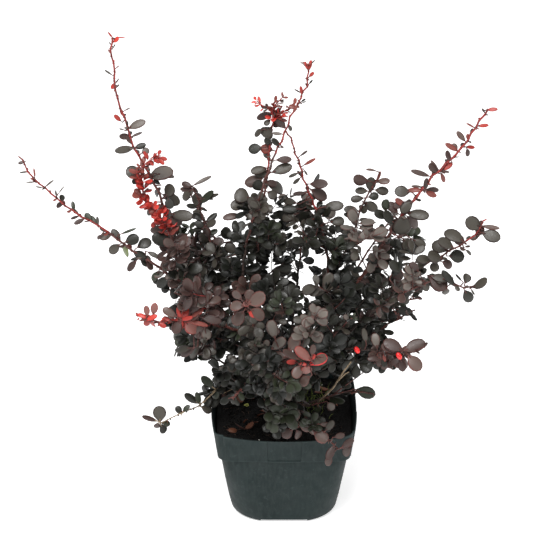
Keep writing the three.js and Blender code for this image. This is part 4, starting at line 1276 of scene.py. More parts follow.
# Leaves that the photograph shows one by one, by shoot: tint, pixels of foot and tip, and how slim
SINGLE_LEAVES = {
    "left_long": [
        ("russet", 23, 160, 18, 156, 0.35), ("wine", 24, 162, 18, 163, 0.8),
        ("slate", 28, 172, 19, 171, 0.3), ("russet", 35, 178, 35, 170, 0.35),
        ("russet", 38, 183, 32, 179, 0.5), ("ash", 35, 182, 26, 182, 0.25), ("ash", 43, 188, 35, 186, 0.3),
        ("ash", 45, 187, 52, 180, 0.3), ("slate", 57, 197, 55, 190, 0.35), ("ash", 58, 194, 63, 187, 0.2),
        ("charcoal", 61, 201, 62, 195, 1.2), ("wine", 63, 204, 54, 205, 0.9),
        ("olive", 74, 211, 73, 201, 0.5), ("slate", 79, 215, 72, 208, 0.5), ("wine", 79, 216, 69, 219, 0.4),
        ("wine", 84, 219, 74, 224, 0.55), ("olive", 91, 221, 85, 213, 0.8), ("olive", 97, 225, 91, 215, 0.5),
        ("slate", 98, 225, 97, 217, 0.5), ("slate", 105, 232, 100, 228, 0.6),
        ("ash", 111, 235, 99, 238, 0.8), ("wine", 101, 235, 96, 240, 0.6),
        ("olive", 121, 234, 136, 228, 0.25), ("slate", 120, 240, 112, 229, 0.8),
        ("charcoal", 126, 242, 139, 237, 1.05), ("charcoal", 138, 247, 150, 238, 1.0),
        ("slate", 119, 245, 108, 254, 0.8), ("lime", 127, 247, 119, 256, 1.4),
        ("charcoal", 134, 252, 147, 258, 0.9), ("slate", 148, 252, 158, 256, 0.6),
        ("charcoal", 141, 257, 130, 260, 0.35), ("charcoal", 141, 260, 150, 265, 0.9),
        ("wine", 136, 261, 126, 271, 0.75), ("wine", 147, 262, 153, 270, 0.9),
        ("olive", 158, 272, 152, 281, 0.9),
    ],
    "left_tall": [
        ("ember", 113, 38, 108, 32, 0.35), ("coral", 113, 42, 118, 37, 0.9),
        ("ember", 117, 38, 124, 36, 0.3), ("wine", 112, 46, 109, 41, 0.35), ("slate", 113, 48, 115, 44, 0.4),
        ("russet", 111, 54, 108, 49, 0.4), ("russet", 115, 69, 118, 65, 0.4),
        ("slate", 112, 75, 105, 70, 0.3), ("wine", 115, 84, 119, 78, 0.3), ("ember", 116, 86, 110, 86, 1.4),
        ("slate", 116, 88, 119, 83, 0.4), ("ember", 123, 116, 121, 109, 0.6),
        ("mauve", 124, 111, 130, 107, 0.3), ("ember", 121, 121, 115, 115, 0.75),
        ("slate", 128, 126, 127, 121, 0.5), ("ash", 129, 128, 143, 119, 0.75),
        ("slate", 124, 130, 119, 128, 0.5), ("wine", 130, 137, 118, 135, 0.7),
        ("wine", 131, 137, 141, 131, 0.3), ("wine", 132, 144, 127, 137, 0.7),
        ("slate", 133, 148, 115, 151, 0.6), ("charcoal", 135, 148, 146, 144, 0.75),
        ("ash", 142, 153, 149, 149, 1.2), ("shade", 160, 184, 154, 179, 0.8),
        ("shade", 158, 190, 151, 198, 0.9), ("ash", 150, 177, 172, 166, 0.8),
        ("ash", 158, 174, 176, 177, 0.4), ("slate", 140, 170, 126, 174, 1.2),
        ("charcoal", 142, 178, 131, 181, 0.8), ("slate", 166, 196, 172, 185, 1.2),
        ("slate", 164, 195, 183, 204, 0.75), ("charcoal", 168, 198, 171, 209, 1.1),
        ("slate", 153, 205, 147, 218, 0.55), ("plum", 166, 229, 146, 229, 0.55),
        ("ember", 156, 222, 150, 227, 0.9), ("plum", 171, 217, 183, 224, 1.2),
        ("slate", 172, 214, 192, 216, 0.75), ("charcoal", 171, 243, 152, 236, 0.95),
        ("russet", 171, 243, 160, 245, 0.45), ("wine", 168, 251, 152, 256, 0.45),
        ("wine", 172, 240, 188, 234, 0.6), ("wine", 174, 244, 192, 240, 1.0),
        ("plum", 172, 262, 160, 268, 1.2), ("stone", 184, 258, 178, 276, 1.2),
        ("charcoal", 168, 278, 156, 288, 0.8),
    ],
    "left_inner": [
        ("wine", 192, 187, 181, 182, 0.7), ("wine", 192, 189, 179, 188, 0.6),
        ("slate", 190, 191, 180, 199, 0.9), ("slate", 200, 207, 194, 192, 0.9),
        ("wine", 193, 187, 200, 192, 0.7), ("ash", 194, 185, 211, 175, 0.25),
        ("olive", 200, 203, 211, 191, 0.6), ("slate", 203, 199, 218, 194, 0.35),
        ("slate", 203, 198, 214, 199, 0.3), ("charcoal", 198, 207, 187, 205, 0.7),
        ("charcoal", 203, 220, 194, 212, 0.9), ("charcoal", 201, 208, 208, 211, 0.5),
        ("charcoal", 205, 227, 195, 222, 0.9), ("charcoal", 203, 229, 192, 229, 0.6),
        ("slate", 206, 226, 216, 221, 1.0), ("charcoal", 206, 222, 217, 213, 0.6),
        ("olive", 208, 234, 217, 229, 0.9), ("slate", 208, 233, 199, 245, 1.1),
        ("charcoal", 232, 239, 223, 229, 1.0), ("slate", 236, 252, 225, 244, 1.0),
        ("shade", 241, 237, 233, 227, 0.9),
    ],
    "centre_left": [
        ("wine", 272, 114, 255, 116, 0.8), ("slate", 270, 120, 264, 124, 1.1),
        ("slate", 262, 130, 252, 134, 1.1), ("slate", 270, 128, 262, 138, 1.45),
        ("charcoal", 270, 137, 264, 144, 1.1), ("charcoal", 261, 148, 248, 149, 1.05),
        ("russet", 272, 150, 260, 147, 1.1), ("charcoal", 269, 152, 262, 158, 1.45),
        ("slate", 266, 168, 251, 170, 0.85), ("slate", 268, 172, 254, 173, 1.15),
        ("plum", 262, 178, 244, 183, 0.85), ("slate", 268, 184, 290, 189, 0.75),
        ("wine", 266, 182, 280, 184, 0.75), ("charcoal", 262, 190, 255, 182, 1.35),
        ("slate", 249, 198, 236, 192, 1.45), ("slate", 244, 202, 231, 207, 1.1),
        ("plum", 241, 215, 224, 214, 0.6), ("slate", 268, 192, 277, 196, 1.45),
        ("charcoal", 280, 126, 273, 121, 1.2), ("wine", 285, 127, 277, 120, 1.2),
        ("stone", 252, 204, 238, 216, 1.2),
    ],
    "centre_tall": [
        ("ember", 308, 70, 306, 62, 0.5), ("russet", 306, 65, 302, 61, 0.4), ("ash", 304, 65, 300, 61, 0.3),
        ("ember", 309, 70, 311, 60, 0.45), ("slate", 311, 64, 315, 60, 0.3),
        ("ember", 309, 77, 313, 73, 0.8), ("charcoal", 309, 84, 312, 80, 0.5),
        ("slate", 308, 79, 305, 78, 0.5), ("wine", 307, 87, 306, 83, 0.5), ("ember", 302, 95, 302, 88, 0.6),
        ("wine", 301, 93, 295, 89, 0.3), ("charcoal", 301, 102, 306, 98, 0.45),
        ("slate", 301, 103, 298, 99, 0.4), ("slate", 302, 103, 306, 101, 0.4),
        ("russet", 298, 105, 293, 112, 0.5), ("russet", 297, 107, 289, 105, 0.9),
        ("slate", 289, 125, 292, 132, 0.7), ("ash", 282, 134, 272, 133, 0.5),
        ("charcoal", 280, 145, 272, 139, 0.9), ("wine", 277, 160, 292, 159, 0.65),
        ("slate", 273, 172, 292, 165, 0.75), ("wine", 280, 147, 284, 147, 0.8),
    ],
    "centre_cross": [
        ("wine", 300, 156, 307, 150, 0.35), ("russet", 304, 165, 315, 158, 0.4),
        ("slate", 298, 173, 288, 177, 0.4), ("slate", 300, 178, 293, 184, 0.5),
        ("wine", 311, 184, 328, 184, 0.85), ("wine", 312, 190, 328, 198, 0.95),
        ("wine", 306, 193, 293, 194, 0.5), ("slate", 296, 203, 281, 199, 0.6),
        ("charcoal", 301, 176, 297, 170, 0.5), ("slate", 324, 207, 341, 203, 0.9),
        ("charcoal", 306, 199, 302, 210, 1.0), ("ash", 304, 170, 308, 176, 0.4),
        ("charcoal", 309, 203, 296, 205, 0.9), ("charcoal", 298, 209, 282, 208, 0.9),
        ("slate", 296, 214, 281, 218, 0.9), ("charcoal", 301, 223, 306, 212, 1.2),
        ("slate", 321, 223, 317, 239, 1.1), ("slate", 331, 222, 344, 219, 1.1),
        ("charcoal", 322, 216, 330, 208, 1.0),
    ],
    "centre_right": [
        ("wine", 368, 181, 354, 178, 1.1), ("slate", 371, 191, 371, 177, 0.9),
        ("mauve", 376, 171, 366, 167, 0.4), ("mauve", 377, 181, 388, 178, 0.9),
        ("russet", 377, 181, 381, 172, 0.4), ("slate", 376, 190, 389, 191, 0.9),
        ("charcoal", 369, 197, 379, 195, 1.05), ("slate", 367, 191, 355, 190, 1),
        ("slate", 363, 198, 351, 199, 0.9), ("slate", 365, 203, 378, 210, 0.85),
        ("slate", 358, 211, 345, 208, 0.85), ("charcoal", 356, 218, 345, 214, 0.55),
        ("olive", 360, 226, 369, 231, 0.8), ("slate", 373, 222, 361, 219, 0.55),
        ("olive", 350, 237, 358, 243, 1.1), ("slate", 366, 205, 361, 214, 0.8),
        ("wine", 357, 226, 354, 217, 0.9),
    ],
    "right_tall": [
        ("ember", 487, 110, 497, 108, 0.6), ("wine", 485, 113, 483, 109, 0.6),
        ("ember", 478, 126, 489, 125, 0.45), ("russet", 475, 128, 469, 122, 0.4),
        ("mauve", 465, 141, 458, 132, 0.7), ("russet", 468, 140, 468, 134, 0.8),
        ("ember", 466, 147, 476, 146, 0.6), ("wine", 467, 149, 470, 157, 0.9),
        ("russet", 458, 151, 447, 143, 0.5), ("mauve", 457, 150, 453, 143, 0.9),
        ("wine", 451, 160, 446, 151, 0.85), ("ember", 443, 170, 452, 162, 0.6),
        ("wine", 441, 171, 450, 172, 0.4), ("russet", 441, 173, 446, 184, 0.5),
        ("wine", 438, 172, 429, 164, 0.9), ("mauve", 438, 169, 431, 160, 0.4),
        ("plum", 429, 176, 412, 170, 0.4), ("wine", 425, 190, 427, 178, 0.5),
        ("wine", 426, 190, 444, 187, 0.45), ("russet", 426, 192, 437, 196, 0.65),
        ("russet", 423, 190, 407, 187, 0.5), ("mauve", 422, 187, 410, 184, 0.35),
        ("slate", 409, 192, 396, 190, 1.25), ("wine", 420, 193, 413, 200, 0.5),
        ("slate", 408, 213, 428, 213, 0.75), ("plum", 408, 217, 423, 229, 0.7),
        ("slate", 404, 217, 402, 238, 1.1), ("slate", 412, 202, 401, 212, 0.9),
        ("wine", 404, 202, 393, 207, 1.0), ("russet", 403, 213, 408, 203, 0.7),
        ("slate", 388, 230, 371, 232, 0.95), ("olive", 386, 211, 387, 201, 1.0),
        ("slate", 404, 240, 413, 250, 1.2), ("slate", 414, 240, 426, 246, 0.8),
        ("wine", 397, 212, 389, 202, 1.0), ("russet", 405, 206, 396, 199, 0.7),
        ("olive", 402, 215, 409, 203, 1.0), ("charcoal", 394, 223, 385, 212, 1.0),
        ("charcoal", 388, 217, 375, 212, 0.8), ("plum", 384, 242, 378, 231, 0.9),
    ],
    "right_outer": [
        ("slate", 480, 228, 466, 219, 1.05), ("ember", 481, 222, 487, 219, 0.35),
        ("mauve", 482, 226, 500, 228, 0.4), ("slate", 483, 233, 500, 238, 0.9),
        ("wine", 479, 235, 470, 239, 0.9), ("slate", 463, 241, 446, 227, 0.8),
        ("wine", 464, 243, 455, 237, 1.2), ("slate", 453, 247, 442, 239, 1.1),
        ("slate", 447, 250, 431, 243, 0.95), ("plum", 465, 247, 471, 245, 0.65),
        ("slate", 466, 250, 475, 255, 0.5), ("charcoal", 450, 256, 465, 256, 1.2),
        ("slate", 442, 259, 429, 254, 1.25), ("slate", 431, 259, 417, 259, 0.95),
        ("wine", 443, 262, 455, 266, 1.1), ("slate", 436, 262, 433, 272, 1.2),
        ("wine", 477, 236, 481, 226, 1),
    ],
    "right_mid": [
        ("slate", 473, 287, 487, 279, 0.9), ("charcoal", 465, 291, 473, 305, 0.75),
        ("slate", 465, 283, 468, 274, 1.1), ("charcoal", 462, 281, 456, 274, 0.4),
        ("charcoal", 455, 286, 446, 272, 0.6), ("slate", 447, 289, 446, 299, 1.0),
        ("slate", 471, 289, 475, 295, 0.35), ("wine", 431, 278, 447, 288, 1.1),
        ("wine", 418, 271, 411, 263, 0.85), ("slate", 432, 276, 448, 279, 0.8),
        ("slate", 424, 282, 428, 292, 0.9), ("charcoal", 402, 272, 393, 261, 1.0),
        ("shade", 391, 276, 398, 263, 0.9),
    ],
    "left_red": [
        ("rose", 153, 314, 155, 304, 0.9), ("rose", 147, 316, 146, 306, 0.85),
        ("coral", 147, 318, 138, 312, 0.6), ("rose", 147, 319, 138, 321, 0.3),
        ("ember", 150, 321, 142, 326, 0.9), ("ember", 152, 321, 151, 330, 0.9),
        ("ember", 158, 323, 166, 327, 0.75), ("coral", 154, 320, 146, 315, 0.8),
        ("coral", 146, 320, 154, 315, 0.8), ("mauve", 176, 316, 165, 309, 0.8),
        ("ember", 170, 321, 163, 316, 0.7), ("ember", 180, 319, 190, 307, 0.55),
        ("ember", 181, 319, 181, 306, 0.5), ("ember", 180, 319, 177, 309, 0.5),
        ("ember", 181, 320, 193, 317, 0.5), ("ember", 180, 321, 176, 332, 0.75),
        ("ember", 180, 320, 170, 319, 0.4), ("wine", 180, 322, 173, 333, 1.0),
        ("ember", 181, 320, 184, 331, 0.5), ("russet", 190, 317, 203, 309, 0.5),
        ("rose", 186, 323, 198, 333, 1.1), ("plum", 203, 326, 194, 341, 1.1),
        ("ash", 205, 328, 209, 340, 1.0), ("wine", 202, 317, 222, 320, 0.7),
        ("wine", 190, 312, 200, 300, 1.0), ("wine", 183, 310, 190, 299, 0.9),
        ("russet", 188, 321, 209, 324, 0.3), ("slate", 190, 348, 173, 349, 0.7),
        ("wine", 194, 348, 178, 356, 0.6), ("slate", 199, 347, 187, 357, 0.9),
    ],
    "front_centre": [
        ("rimmed", 311, 364, 330, 353, 0.7), ("stone", 268, 354, 259, 368, 1.15),
        ("plum", 286, 357, 270, 354, 0.85), ("plum", 298, 359, 283, 350, 0.6),
        ("mauve", 289, 350, 297, 337, 1.05), ("stone", 272, 349, 283, 341, 1.05),
        ("rose", 311, 360, 299, 347, 0.85), ("plum", 312, 355, 314, 345, 0.8),
        ("ember", 297, 362, 286, 362, 0.7), ("ember", 312, 360, 315, 354, 0.7),
        ("rose", 307, 366, 306, 376, 1.3), ("mauve", 301, 366, 294, 378, 1.0),
        ("plum", 309, 377, 297, 385, 1.0), ("mauve", 280, 371, 273, 381, 1.0),
        ("stone", 271, 364, 281, 371, 0.5), ("stone", 265, 347, 268, 340, 1.1),
        ("ash", 275, 338, 272, 325, 1.0), ("coral", 298, 363, 310, 365, 0.4),
    ],
    "front_left": [
        ("mauve", 243, 306, 229, 304, 1.25), ("mauve", 249, 303, 265, 295, 1.2),
        ("plum", 247, 300, 252, 290, 1.2), ("plum", 241, 299, 233, 291, 1.0),
        ("coral", 249, 311, 256, 317, 0.8), ("rose", 250, 304, 243, 303, 1.5),
        ("mauve", 252, 310, 266, 318, 1.0), ("plum", 243, 312, 234, 325, 1.1),
        ("slate", 252, 314, 254, 326, 0.9),
    ],
    "right_low": [
        ("plum", 405, 350, 425, 341, 0.85), ("wine", 402, 350, 384, 339, 0.85),
        ("mauve", 409, 356, 421, 370, 0.85), ("wine", 401, 360, 403, 372, 0.85),
        ("wine", 400, 360, 389, 363, 0.9), ("charcoal", 383, 359, 385, 367, 0.8),
        ("charcoal", 375, 363, 367, 367, 0.9), ("ash", 377, 347, 374, 334, 0.85),
        ("russet", 384, 354, 385, 362, 0.5), ("wine", 380, 358, 369, 357, 0.8),
        ("plum", 392, 350, 383, 345, 1.1), ("slate", 366, 342, 364, 332, 0.8),
    ],
    "front_droop": [
        ("ash", 290, 421, 299, 411, 1.1), ("ash", 286, 425, 272, 437, 0.65),
        ("wine", 292, 430, 281, 437, 1.0), ("plum", 290, 431, 292, 442, 1.0),
        ("plum", 312, 427, 305, 437, 1.1), ("mauve", 315, 432, 328, 441, 1.1),
        ("wine", 334, 446, 327, 460, 0.6), ("plum", 331, 456, 325, 467, 0.7),
        ("plum", 350, 448, 340, 457, 0.9), ("olive", 318, 406, 320, 418, 0.8),
        ("ash", 328, 403, 334, 410, 1.2), ("wine", 297, 431, 303, 441, 0.9),
        ("plum", 300, 425, 311, 430, 0.9), ("olive", 303, 412, 311, 418, 0.8),
        ("olive", 300, 421, 291, 427, 0.7), ("charcoal", 288, 412, 275, 408, 0.8),
        ("wine", 342, 447, 352, 440, 0.8), ("plum", 335, 437, 345, 434, 0.9),
        ("slate", 326, 430, 334, 421, 0.8), ("plum", 320, 424, 330, 425, 0.7),
    ],
    "right_sprig": [
        ("olive", 357, 390, 376, 395, 0.8),
    ],
    "back_low_right": [
        ("wine", 413, 296, 423, 299, 0.5), ("charcoal", 412, 297, 420, 291, 0.7),
        ("shade", 408, 300, 404, 292, 0.9),
    ],
    "front_low_left": [
        ("shade", 236, 394, 226, 398, 0.9), ("charcoal", 235, 396, 231, 405, 0.8),
        ("shade", 241, 391, 232, 386, 0.9), ("olive", 238, 393, 246, 399, 0.8),
        ("shade", 230, 398, 219, 402, 0.9), ("charcoal", 233, 399, 240, 405, 0.7),
    ],
    "right_side": [
        ("charcoal", 396, 309, 413, 313, 0.75), ("charcoal", 395, 312, 401, 322, 0.95),
        ("shade", 396, 311, 389, 320, 1.0),
    ],
    "back_low_left": [
        ("shade", 166, 281, 157, 289, 0.9), ("shade", 167, 282, 164, 294, 0.8),
        ("shade", 172, 288, 174, 300, 0.8), ("charcoal", 160, 283, 153, 280, 1.0),
    ],
    "left_sprig": [
        ("olive", 214, 388, 202, 378, 0.8), ("charcoal", 214, 391, 202, 397, 0.85),
        ("charcoal", 198, 403, 185, 394, 0.65), ("olive", 200, 404, 198, 394, 0.75),
        ("slate", 202, 407, 214, 411, 0.95), ("olive", 183, 412, 188, 405, 0.8),
        ("charcoal", 181, 414, 177, 407, 1.0), ("slate", 160, 421, 159, 407, 1.05),
        ("wine", 157, 421, 143, 416, 0.45), ("olive", 163, 423, 171, 424, 1.15),
        ("charcoal", 161, 425, 167, 434, 1.0), ("wine", 158, 423, 156, 430, 1.1),
    ],
}
SHOOT_OF = {shoot.name: shoot for shoot in shoots}
STALK_RADII = (0.95, 0.8, 0.5)
STALK_SHARE = 0.24  # a blade begins to widen at the pixel of its foot, and its stalk is this much longer
BLADE_DEPTH = (-0.55, 0.4)  # how far behind its foot a leaf's tip may stand, as shares of its length

# The two fruits: the pixels of their middles, and their size in millimetres
FRUITS = ((357, 350), (399, 356))
FRUIT_HALF = 4.6
FRUIT_RADIUS = 3.1
FRUIT_NEARER = 15
FRUIT_STALK = 6  # pixels from a fruit's middle up to its stem
FRUIT_AXIS = np.array([0.5, -0.2, -0.8])

# Stems that the photograph shows by themselves: bark, pixels, their depths in millimetres, and radii
LOOSE_STEMS = [
    ("pale", [(318, 402), (333, 388), (344, 371), (351, 362)], [-34, -62, -86, -92], (1.3, 0.8)),
    ("pale", [(338, 381), (345, 374), (349, 372)], [-74, -88, -92], (0.8, 0.6)),
    ("brown", [(316, 402), (335, 394), (352, 390)], [-30, -42, -52], (1.1, 0.7)),
    ("brown", [(333, 395), (346, 385), (356, 378), (369, 368)], [-40, -44, -46, -46], (0.9, 0.6)),
]


def through(corners, knots, steps):
    """Places along straight lines through corners, read at steps between the first knot and the last."""
    corners = np.array(corners)
    return np.array([[np.interp(step, knots, corners[:, i]) for i in range(3)] for step in steps])


def grow_sprig(shoot, pixels, nearer, tints, sizes, count, gap):
    """A sprig of small red leaves, with a rosette at each of its nodes."""
    start = carrier(shoot, *pixels[0])
    turns = len(pixels) - 1
    corners = [start] + [seen_at(*pixels[i], start[1] - nearer * i / turns) for i in range(1, turns + 1)]
    run = np.concatenate([[0], np.cumsum(np.linalg.norm(np.diff(corners, axis=0), axis=1))])
    points = 4 + 2 * turns
    line = through(corners, run, [run[-1] * i / (points - 1) for i in range(points)])
    add_tube(stems["red"], line, np.linspace(*SPRIG_RADII, points), 6)
    steps = max(1, round(run[-1] / gap))
    for k in range(1, steps + 1):
        share = k / steps
        place, before = through(corners, run, [run[-1] * share, run[-1] * share - gap])
        size = sizes[0] + (sizes[1] - sizes[0]) * share
        slim = SMALL_SLIM if size < SMALL_LEAF else 1.0
        rosette(chance.choice(tints), place, unit(place - before), count, size, SPRIG_TILT, slim, True)


def place_leaf(shoot, tint, foot_x, foot_y, tip_x, tip_y, slim):
    """One leaf from pixel to pixel, its tip a little nearer or further than its foot, held on its shoot."""
    held = carrier(shoot, foot_x, foot_y)
    depth = held[1] - NEARER.get(shoot.name, 0)
    foot = seen_at(foot_x, foot_y, depth)
    flat = seen_at(tip_x, tip_y, depth) - foot
    foot = foot - flat * STALK_SHARE
    length = float(np.linalg.norm(flat)) * 1.25
    way = seen_at(tip_x, tip_y, depth + chance.uniform(*BLADE_DEPTH) * length) - foot
    full = float(np.linalg.norm(way))
    face = CAMERA_BACK + UP * 0.35 + any_way() * 0.3
    put_leaf(tint, foot, way, face, full, slim * length / full, True)
    kind = "pale" if shoot.name == "left_sprig" else "brown"
    add_tube(stems[kind], [held, foot, foot + way * 0.32], STALK_RADII, 5)


def hang_fruit(fruits, shoot, x, y):
    """A small oval fruit on a thin stalk."""
    held = carrier(shoot, x, y - FRUIT_STALK)
    middle = seen_at(x, y, held[1] - FRUIT_NEARER)
    axis = unit(FRUIT_AXIS)
    turns = np.linspace(0.08, math.pi - 0.08, 11)
    line = [middle - axis * FRUIT_HALF * math.cos(t) for t in turns]
    add_tube(fruits, line, [FRUIT_RADIUS * math.sin(t) ** 0.9 for t in turns], 14)
    add_tube(stems["red"], bent_line(held, line[0], 1, 5), [0.5, 0.4, 0.35, 0.35, 0.5], 5)


def loose_stem(kind, pixels, depths, radii):
    corners = [seen_at(*pixel, depth) for pixel, depth in zip(pixels, depths)]
    line = through(corners, range(len(corners)), np.linspace(0, len(corners) - 1, 16))
    add_tube(stems[kind], line, np.linspace(*radii, 16), 6)


for name, *sprig in SPRIGS:
    grow_sprig(SHOOT_OF[name], *sprig)
for name, rows in SINGLE_LEAVES.items():
    for row in rows:
        place_leaf(SHOOT_OF[name], *row)
fruits = Parts()
for pixel in FRUITS:
    hang_fruit(fruits, SHOOT_OF["right_low"], *pixel)
for row in LOOSE_STEMS:
    loose_stem(*row)

# Pieces of the plant

FOLIAGE_NODES = [f"foliage_{shoot.name}" for shoot in shoots]
BOUGH_NODES = [f"bough_{shoot.name}" for shoot in shoots]
BARKS = {
    "dark": (linear(50, 34, 28), linear(26, 19, 16)),
    "brown": (linear(82, 40, 33), linear(48, 25, 22)),
    "red": (linear(134, 38, 33), linear(90, 25, 24)),
    "pale": (linear(128, 110, 86), linear(90, 74, 56)),
}
TRUNK_STEPS = 36
BOUGH_POINTS = 14

for tint, parts in leaves.items():
    parts.piece(f"leaves_{tint}", leaf_materials(tint, *TINTS[tint], 0.42, 0.5), "leaves", FOLIAGE_NODES)
fruits.piece("fruits", [fruit_material()], "leaves")
for kind, parts in stems.items():
    parts.piece(f"stems_{kind}", [bark_material(f"bark_{kind}", *BARKS[kind], 0.4)], "bark", FOLIAGE_NODES)
spines.piece("spines", [bark_material("spine_bark", linear(150, 92, 74), linear(110, 50, 40), 0.2)], "bark")


def wood_relief(seed, depth, grain):
    """Ridges and furrows that run along a limb: a factor on its radius."""

    def relief(step, angles):
        return np.array([
            1 + depth * noise.noise(Vector((math.cos(a) * grain, math.sin(a) * grain, step * 0.16 + seed)))
            for a in angles
        ])

    return relief


def wood_piece():
    """The trunk with its flare and the boughs, with the bark's relief in the mesh."""
    wood = Parts()
    line, radii = [], []
    for i in range(TRUNK_STEPS + 1):
        share = i / TRUNK_STEPS
        dome = math.sqrt(max(0.02, 1 - max(0, (share - 0.8) / 0.2) ** 2 * 0.75))
        line.append((TRUNK_LEAN[0] * share, TRUNK_LEAN[1] * share, SOIL_LEVEL + GAP + TRUNK_HEIGHT * share))
        radii.append((TRUNK_RADIUS * (1 - 0.12 * share) + TRUNK_FLARE * (1 - share) ** 3) * dome)
    add_tube(wood, line, radii, 48, wood_relief(3.0, 0.16, 3.0))
    last = BOUGH_POINTS - 1
    for shoot in shoots:
        line = [shoot.course.point(shoot.leafy * (i - 0.6) / last) for i in range(BOUGH_POINTS)]
        line[0] = shoot.course.point(0) - shoot.course.way(0) * 2
        line[-1] = shoot.course.point(shoot.leafy)
        swelling = [1.5, 1.25] + [1.12 if i % 4 == 2 else 1 for i in range(2, BOUGH_POINTS)]
        radii = [radius_at(shoot.leafy * i / last) * swelling[i] for i in range(BOUGH_POINTS)]
        add_tube(wood, line, radii, 10, wood_relief(shoot.index * 7.1, 0.12, 1.5))
    finish = bark_material("bark_old", linear(74, 56, 46), linear(36, 27, 23), 1.6)
    wood.piece("wood", [finish], "bark", ["trunk", *BOUGH_NODES])


wood_piece()

# The pot

CORNER_STEPS = 12
SIDE_STEPS = 8
WALL_STEPS = 22
INNER_STEPS = 12
PANEL_EDGE = 0.6  # the width of the seam beside the label's recess
PANEL_FROM = 0.05  # where the label's recess begins, as a share of the collar
PANEL_STEPS = 8
RIM_FROM = 0.985  # where the rim begins to turn inwards, as a share of the collar
COLLAR_STRAIGHT = RIM_HALF - RIM_CORNER
PANEL_SHARE = LABEL_HALF / COLLAR_STRAIGHT
SEAM_SHARE = (LABEL_HALF + PANEL_EDGE) / COLLAR_STRAIGHT
FOOT_ROUNDING = 5
CUTTER_LENGTH = 60
DRAIN_FROM_CHANNEL = 12
SHARP_EDGE = math.radians(35)


def side_shares():
    """Where a ring has its points along one side, as shares of its straight half, closer at the seams."""
    outer = [-1 + (1 - SEAM_SHARE) * i / SIDE_STEPS for i in range(SIDE_STEPS + 1)]
    inner = [-PANEL_SHARE + 2 * PANEL_SHARE * i / SIDE_STEPS for i in range(SIDE_STEPS + 1)]
    return outer + inner + [-share for share in outer[::-1]][:-1]


SIDE_SHARES = side_shares()


def square_ring(half, corner, height, bow, dip, recess=0.0):
    """One ring of a square with round corners. Its sides bulge by bow and sag by dip in the middle."""
    ring = []
    straight = half - corner
    for side in range(4):
        turn = side * math.pi / 2

        def put(out, along, sunk=0.0):
            middle = 1 - (along / half) ** 2
            reach = out + bow * middle - sunk
            ring.append((
                reach * math.cos(turn) - along * math.sin(turn),
                reach * math.sin(turn) + along * math.cos(turn),
                height - dip * middle,
            ))

        for share in SIDE_SHARES:
            put(half, straight * share, recess if abs(share) <= PANEL_SHARE + 1e-6 else 0.0)
        for i in range(CORNER_STEPS):
            angle = i / CORNER_STEPS * math.pi / 2
            put(straight + corner * math.cos(angle), straight + corner * math.sin(angle))
    return ring


def bow_at(height):
    return RIM_BOW * (height / POT_HEIGHT) ** 2


def wall_ring(height, floor, inset):
    rise = height / WALL_TOP
    half = BASE_HALF + (WALL_HALF - BASE_HALF) * rise**0.85
    corner = BASE_CORNER + (RIM_CORNER + 4 - BASE_CORNER) * rise**0.8
    foot = 2 * max(0.0, 1 - (height - floor) / FOOT_ROUNDING) ** 2
    return square_ring(half - inset - foot, corner - inset / 2, height, bow_at(height), 0)


def collar_ring(share, inset, recess=0.0, lift=0.0):
    """A ring of the collar between its foot and its rim."""
    foot = WALL_TOP + 0.7 + inset
    height = foot + (POT_HEIGHT - foot) * share
    half = COLLAR_FOOT_HALF + (RIM_HALF - COLLAR_FOOT_HALF) * share - inset
    bow = bow_at(WALL_TOP) + (RIM_BOW - bow_at(WALL_TOP)) * share
    return square_ring(half, RIM_CORNER - inset * 0.5, height + lift, bow, RIM_DIP * share, recess)


def shell_of(parts, rings):
    """A closed shell through rings of equal count, with a fan over the first and the last."""
    places = np.array([point for ring in rings for point in ring])
    ends = [np.mean(rings[0], axis=0), np.mean(rings[-1], axis=0)]
    parts.add(np.concatenate([places, ends]), shell_faces(len(rings), len(rings[0])))


def pot_rings():
    """The pot's rings from its underside up the outside, over the rim and down the inside to its floor."""
    rings = [wall_ring(height, 0, 0) for height in (0, 0.6, 1.6, 3, 5, 7, 10)]
    rings += [wall_ring(10 + (WALL_TOP - 10.5) * i / WALL_STEPS, 0, 0) for i in range(1, WALL_STEPS + 1)]
    rings += [wall_ring(WALL_TOP, 0, 0)]
    rings += [collar_ring(0.0, 1.6), collar_ring(0.0, 0.5), collar_ring(0.012, 0.0)]
    rings += [collar_ring(0.03, 0.0), collar_ring(PANEL_FROM, 0.0, LABEL_DEPTH)]
    for i in range(1, PANEL_STEPS + 1):
        rings.append(collar_ring(PANEL_FROM + 0.9 * i / PANEL_STEPS, 0.0, LABEL_DEPTH))
    rings += [collar_ring(RIM_FROM, 0.0, LABEL_DEPTH * 0.8), collar_ring(1.0, 0.35, 0.4)]
    rings += [collar_ring(1.0, 0.9, 0.0, 0.15), collar_ring(1.0, WALL - 0.3), collar_ring(RIM_FROM, WALL)]
    rings += [collar_ring(RIM_FROM * (1 - i / 6), WALL) for i in range(1, 7)]
    rings += [wall_ring(WALL_TOP - 0.5 + WALL, FLOOR, WALL)]
    drop = WALL_TOP - FLOOR
    rings += [wall_ring(FLOOR + drop * (1 - i / INNER_STEPS), FLOOR, WALL) for i in range(1, INNER_STEPS + 1)]
    return rings


def turned_out(made, reach, turn):
    """Sets a cutter at a distance from the pot's middle, in millimetres, on the ground."""
    made.location = (reach * MM * math.cos(turn), reach * MM * math.sin(turn), 0)
    return made


def channel_cutter(turn):
    """A temporary box, open towards one side of the pot."""
    bpy.ops.mesh.primitive_cube_add(size=MM)
    made = bpy.context.object
    made.scale = (CUTTER_LENGTH, 2 * CHANNEL_HALF, 2 * CHANNEL_HEIGHT)
    made.rotation_euler = (0, 0, turn)
    return turned_out(made, CHANNEL_END + CUTTER_LENGTH / 2, turn)


